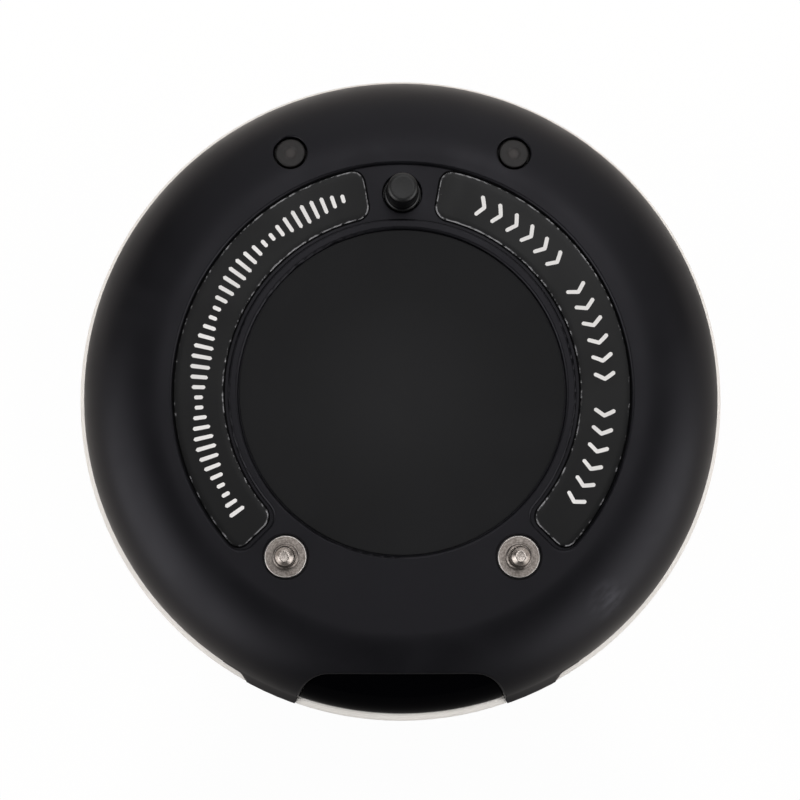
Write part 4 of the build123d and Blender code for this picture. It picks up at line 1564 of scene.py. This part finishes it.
@dataclass
class Plug:
    """Rubber plug over one case screw. Its top follows the cover's shoulder."""

    side: Side
    shells: Shells
    radius: float = 2.35
    sink: float = 0.25
    edge_round: float = 0.3
    dimple_r: float = 0.95
    dimple_depth: float = 0.3
    dimple_round: float = 0.55
    bead_low: float = 0.6
    bead_h: float = 0.8
    bead_round: float = 0.15
    bottom_round: float = 0.2
    steps: int = 72
    rim_steps: int = 6
    middle_rings: tuple[Triple, ...] = ((0, 0.6, 4), (0.65, 1.25, 12), (1.35, 1.95, 5))

    def build(self) -> None:
        """Make the plug.

        The top is the shoulder's height less the sink, less R - sqrt(R ** 2 - (R - e) ** 2) within R of the
        edge, less the dimple, which falls from 0 to its depth by a smooth step.
        """
        name = f"plug_{self.side.value}"
        node = Span.of(name)
        angle = np.arange(self.steps) * TURN / self.steps
        turn = np.linspace(math.pi / 2, 0, self.rim_steps + 1)
        rim = self.radius - self.edge_round * (1 - np.cos(turn))
        radius = np.concatenate([*(np.linspace(*rings) for rings in self.middle_rings), rim])
        x = node.axis[0] + radius[:, None] * np.cos(angle)
        y = node.axis[1] + radius[:, None] * np.sin(angle)
        from_edge = np.clip(self.edge_round - (self.radius - radius), 0, self.edge_round)
        fall = self.edge_round - np.sqrt(self.edge_round**2 - from_edge**2)
        share = np.clip((self.dimple_r + self.dimple_round / 2 - radius) / self.dimple_round, 0, 1)
        dimple = self.dimple_depth * share**2 * (3 - 2 * share)
        top = self.shells.dome(np.hypot(x, y)) - self.sink - (fall + dimple)[:, None]
        bead_z = node.bottom + self.bead_low
        below = rounded(
            (self.radius, bead_z + 2 * self.bead_h, 0),
            (self.radius, bead_z + self.bead_h, 0),
            (node.radius, bead_z + self.bead_h, self.bead_round),
            (node.radius, bead_z, self.bead_round),
            (self.radius, bead_z, 0),
            (self.radius, node.bottom, self.bottom_round),
            (0, node.bottom, 0),
        )
        grid = np.vstack([np.stack([x, y, top], axis=-1), turned(below, node.axis, self.steps)])
        mesh = Form().add(grid, around=True, axis=node.axis).mesh(f"{name}_moulded")
        show(f"{name}_moulded", mesh, PLUG_RUBBER, (name,))


@dataclass
class Underside:
    """Rubber feet, and the rivets that meet the contacts of a pager below."""

    foot_r: float = 4.5
    foot_ring_r: float = 38.0
    foot_angles: tuple[float, ...] = (50.0, 130.0, 210.0, 330.0)
    foot_round: float = 0.3
    foot_dish: float = 0.12
    dish_limits: Pair = (0.6, 0.7)
    foot_steps: int = 64
    head_r: float = 3.0
    head_round: float = 0.18
    head_edge: float = 0.05
    head_t: float = 0.6
    shank_r: float = 1.25
    shank_round: float = 0.1
    rivet_steps: int = 72

    def build(self) -> None:
        """Make the feet as one piece, and a rivet on each side."""
        node = Span.of("rubber_feet")
        dish_r, sole_r = (self.foot_r * share for share in self.dish_limits)
        profile = rounded(
            (0, node.bottom + self.foot_dish, 0),
            (dish_r, node.bottom + self.foot_dish, self.foot_round),
            (sole_r, node.bottom, self.foot_round),
            (self.foot_r, node.bottom, self.foot_round),
            (self.foot_r, node.top, 0),
            (0, node.top, 0),
        )
        form = Form()
        for angle in np.radians(self.foot_angles):
            middle = (self.foot_ring_r * math.cos(angle), self.foot_ring_r * math.sin(angle))
            form.turn(profile, middle, self.foot_steps)
        mesh = form.mesh("rubber_feet_moulded")
        show("rubber_feet_moulded", mesh, FOOT_RUBBER, ("rubber_feet",))
        for side in Side:
            name = f"dock_contact_{side.value}"
            rivet = Span.of(name)
            head_top = rivet.bottom + self.head_t
            profile = rounded(
                (0, rivet.bottom, 0),
                (self.head_r, rivet.bottom, self.head_round),
                (self.head_r, head_top, self.head_edge),
                (self.shank_r, head_top, 0),
                (self.shank_r, rivet.top, self.shank_round),
                (0, rivet.top, 0),
            )
            mesh = Form().turn(profile, rivet.axis, self.rivet_steps).mesh(name)
            show(f"{name}_turned", mesh, CONTACT_NICKEL, (name,))


@dataclass
class InnerParts:
    """Parts inside the case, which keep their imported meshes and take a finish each."""

    def build(self) -> None:
        """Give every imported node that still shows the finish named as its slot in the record."""
        slots = {part["node"]: part["material_slot"] for part in frame["record"]["subparts"]}
        finishes = {finish.name: finish for finish in INNER_FINISHES}
        for name, node in frame["nodes"].items():
            if node.hide_render:
                continue
            finish = finishes[slots[name]]
            node.data.materials.clear()
            node.data.materials.append(finish.material())
            log.info("%s: packed mesh, finish %s", name, finish.name)


@dataclass(frozen=True)
class SoftLight:
    """Soft round light in the room, given by its direction and its size as angles in degrees."""

    azimuth: float
    elevation: float
    inner: float
    fade: float
    level: float

    def direction(self) -> Triple:
        """Direction towards the light, from azimuth clockwise from +Y and elevation above the floor."""
        turn, rise = math.radians(self.azimuth), math.radians(self.elevation)
        return math.sin(turn) * math.cos(rise), math.cos(turn) * math.cos(rise), math.sin(rise)


@dataclass
class Studio:
    """Pale floor, soft lights and camera."""

    floor_half: float = 6000.0
    floor_colour: Colour = (218, 211, 205)
    floor_white: float = 0.98
    floor_white_reflected: float = 0.12
    floor_roughness: float = 0.9
    floor_specular: float = 0.1
    # Floor colour scaled down in front and up behind: painted shade in front and painted light behind.
    front_painted_shade: float = 0.22
    front_shade_limits: Pair = (-0.95, -0.76)
    back_painted_light: float = 1.4
    back_light_limits: Pair = (0.1, 0.9)
    camera_offset: Triple = (-5.5, -30.8, 416.0)
    camera_lens: float = 114.1
    sensor_w: float = 36.0
    ring_z: float = 5.5
    aim: Pair = (-0.148, -0.132)
    surround: float = 0.08
    lights: tuple[SoftLight, ...] = (
        SoftLight(azimuth=14, elevation=75, inner=5, fade=10.5, level=5.0),
        SoftLight(azimuth=117, elevation=20, inner=12, fade=33, level=3.2),
        SoftLight(azimuth=-117, elevation=22, inner=13, fade=31, level=3.3),
        SoftLight(azimuth=8, elevation=33, inner=15, fade=49, level=1.25),
    )

    def _floor(self) -> None:
        """Lay the floor, its colour darker in front of the object as painted shade and paler behind it as
        painted light.

        The camera sees it paler than lit, and looks through it from below.
        """
        half = self.floor_half
        corners = np.array([[[-half, -half, 0], [half, -half, 0]], [[-half, half, 0], [half, half, 0]]])
        mesh = Form().add(corners).mesh("floor")
        floor = new_object("floor", mesh)
        material = bpy.data.materials.new("pale_floor")
        material.use_nodes = True
        desk = NodeDesk(material.node_tree)
        shader = desk.tree.nodes["Principled BSDF"]
        outwards = desk.node("VectorMath", desk.place(), operation="NORMALIZE").outputs[0]
        back_share = desk.along("Y", outwards)
        front = desk.ramp(back_share, *self.front_shade_limits, self.front_painted_shade, 1.0)
        back = desk.ramp(back_share, *self.back_light_limits, 1.0, self.back_painted_light)
        shade = desk.node("VectorMath", linear(self.floor_colour)[:3], operation="SCALE")
        desk.feed(shade.inputs["Scale"], desk.maths("MULTIPLY", front, back))
        look = {
            "Base Color": shade.outputs[0],
            "Roughness": self.floor_roughness,
            "Specular IOR Level": self.floor_specular,
        }
        desk.fill(shader, look)
        white = desk.fill(desk.node("Emission"), {"Strength": 1.0}).outputs[0]
        path = desk.node("LightPath").outputs
        reflected = desk.maths("ADD", path["Is Glossy Ray"], path["Is Transmission Ray"], clamp=True)
        share = desk.maths("MULTIPLY", path["Is Camera Ray"], self.floor_white)
        share = desk.maths("MULTIPLY_ADD", reflected, self.floor_white_reflected, share)
        mixed = desk.node("MixShader", share, shader.outputs[0], white).outputs[0]
        under = desk.node("NewGeometry").outputs["Backfacing"]
        under = desk.maths("MULTIPLY", under, path["Is Camera Ray"])
        clear = desk.node("MixShader", under, mixed, desk.node("BsdfTransparent").outputs[0])
        desk.feed(desk.tree.nodes["Material Output"].inputs["Surface"], clear.outputs[0])
        mesh.materials.append(material)

    def _world(self) -> None:
        """Light the room with soft lights on a dark surround, which the camera itself sees white.

        A light's level is full within its inner angle from its middle and falls smoothly to 0 over its fade.
        """
        world = bpy.data.worlds.new("studio")
        bpy.context.scene.world = world
        world.use_nodes = True
        desk = NodeDesk(world.node_tree)
        background = desk.tree.nodes["Background"]
        background.inputs["Color"].default_value = (1.0, 1.0, 1.0, 1.0)
        direction = desk.node("TexCoord").outputs["Generated"]
        total = self.surround
        for light in self.lights:
            dot = desk.node("VectorMath", direction, light.direction(), operation="DOT_PRODUCT")
            angle = desk.maths("ARCCOSINE", dot.outputs["Value"])
            inner, outer = math.radians(light.inner), math.radians(light.inner + light.fade)
            total = desk.maths("ADD", total, desk.ramp(angle, outer, inner, 0.0, light.level))
        camera_ray = desk.node("LightPath").outputs["Is Camera Ray"]
        desk.feed(background.inputs["Strength"], desk.maths("MAXIMUM", total, camera_ray))

    def _camera(self) -> None:
        """Set the camera at the photograph's angle, its top towards +Y."""
        data = bpy.data.cameras.new("camera")
        data.sensor_width = self.sensor_w
        data.lens = self.camera_lens
        camera = new_object("camera", data)
        offset = Vector(self.camera_offset)
        back = offset.normalized()
        right = Vector((0, 1, 0)).cross(back).normalized()
        camera.rotation_euler = Matrix((right, back.cross(right), back)).transposed().to_euler()
        camera.location = (Vector((*self.aim, self.ring_z)) + offset) * MM
        bpy.context.scene.camera = camera

    def build(self) -> None:
        """Set up the floor, the lights and the camera."""
        self._floor()
        self._world()
        self._camera()
        bpy.context.scene.view_settings.view_transform = "Standard"


def main() -> None:
    """Build every sub-assembly in order."""
    logging.basicConfig(level=logging.INFO, format="%(name)s: %(message)s")
    shells = Shells()
    shells.build()
    CentreDisc().build()
    Labels().build()
    for side in Side:
        Contact(side).build()
        Plug(side, shells).build()
    Key().build()
    Underside().build()
    InnerParts().build()
    Studio().build()


if __name__ == "__main__":
    main()
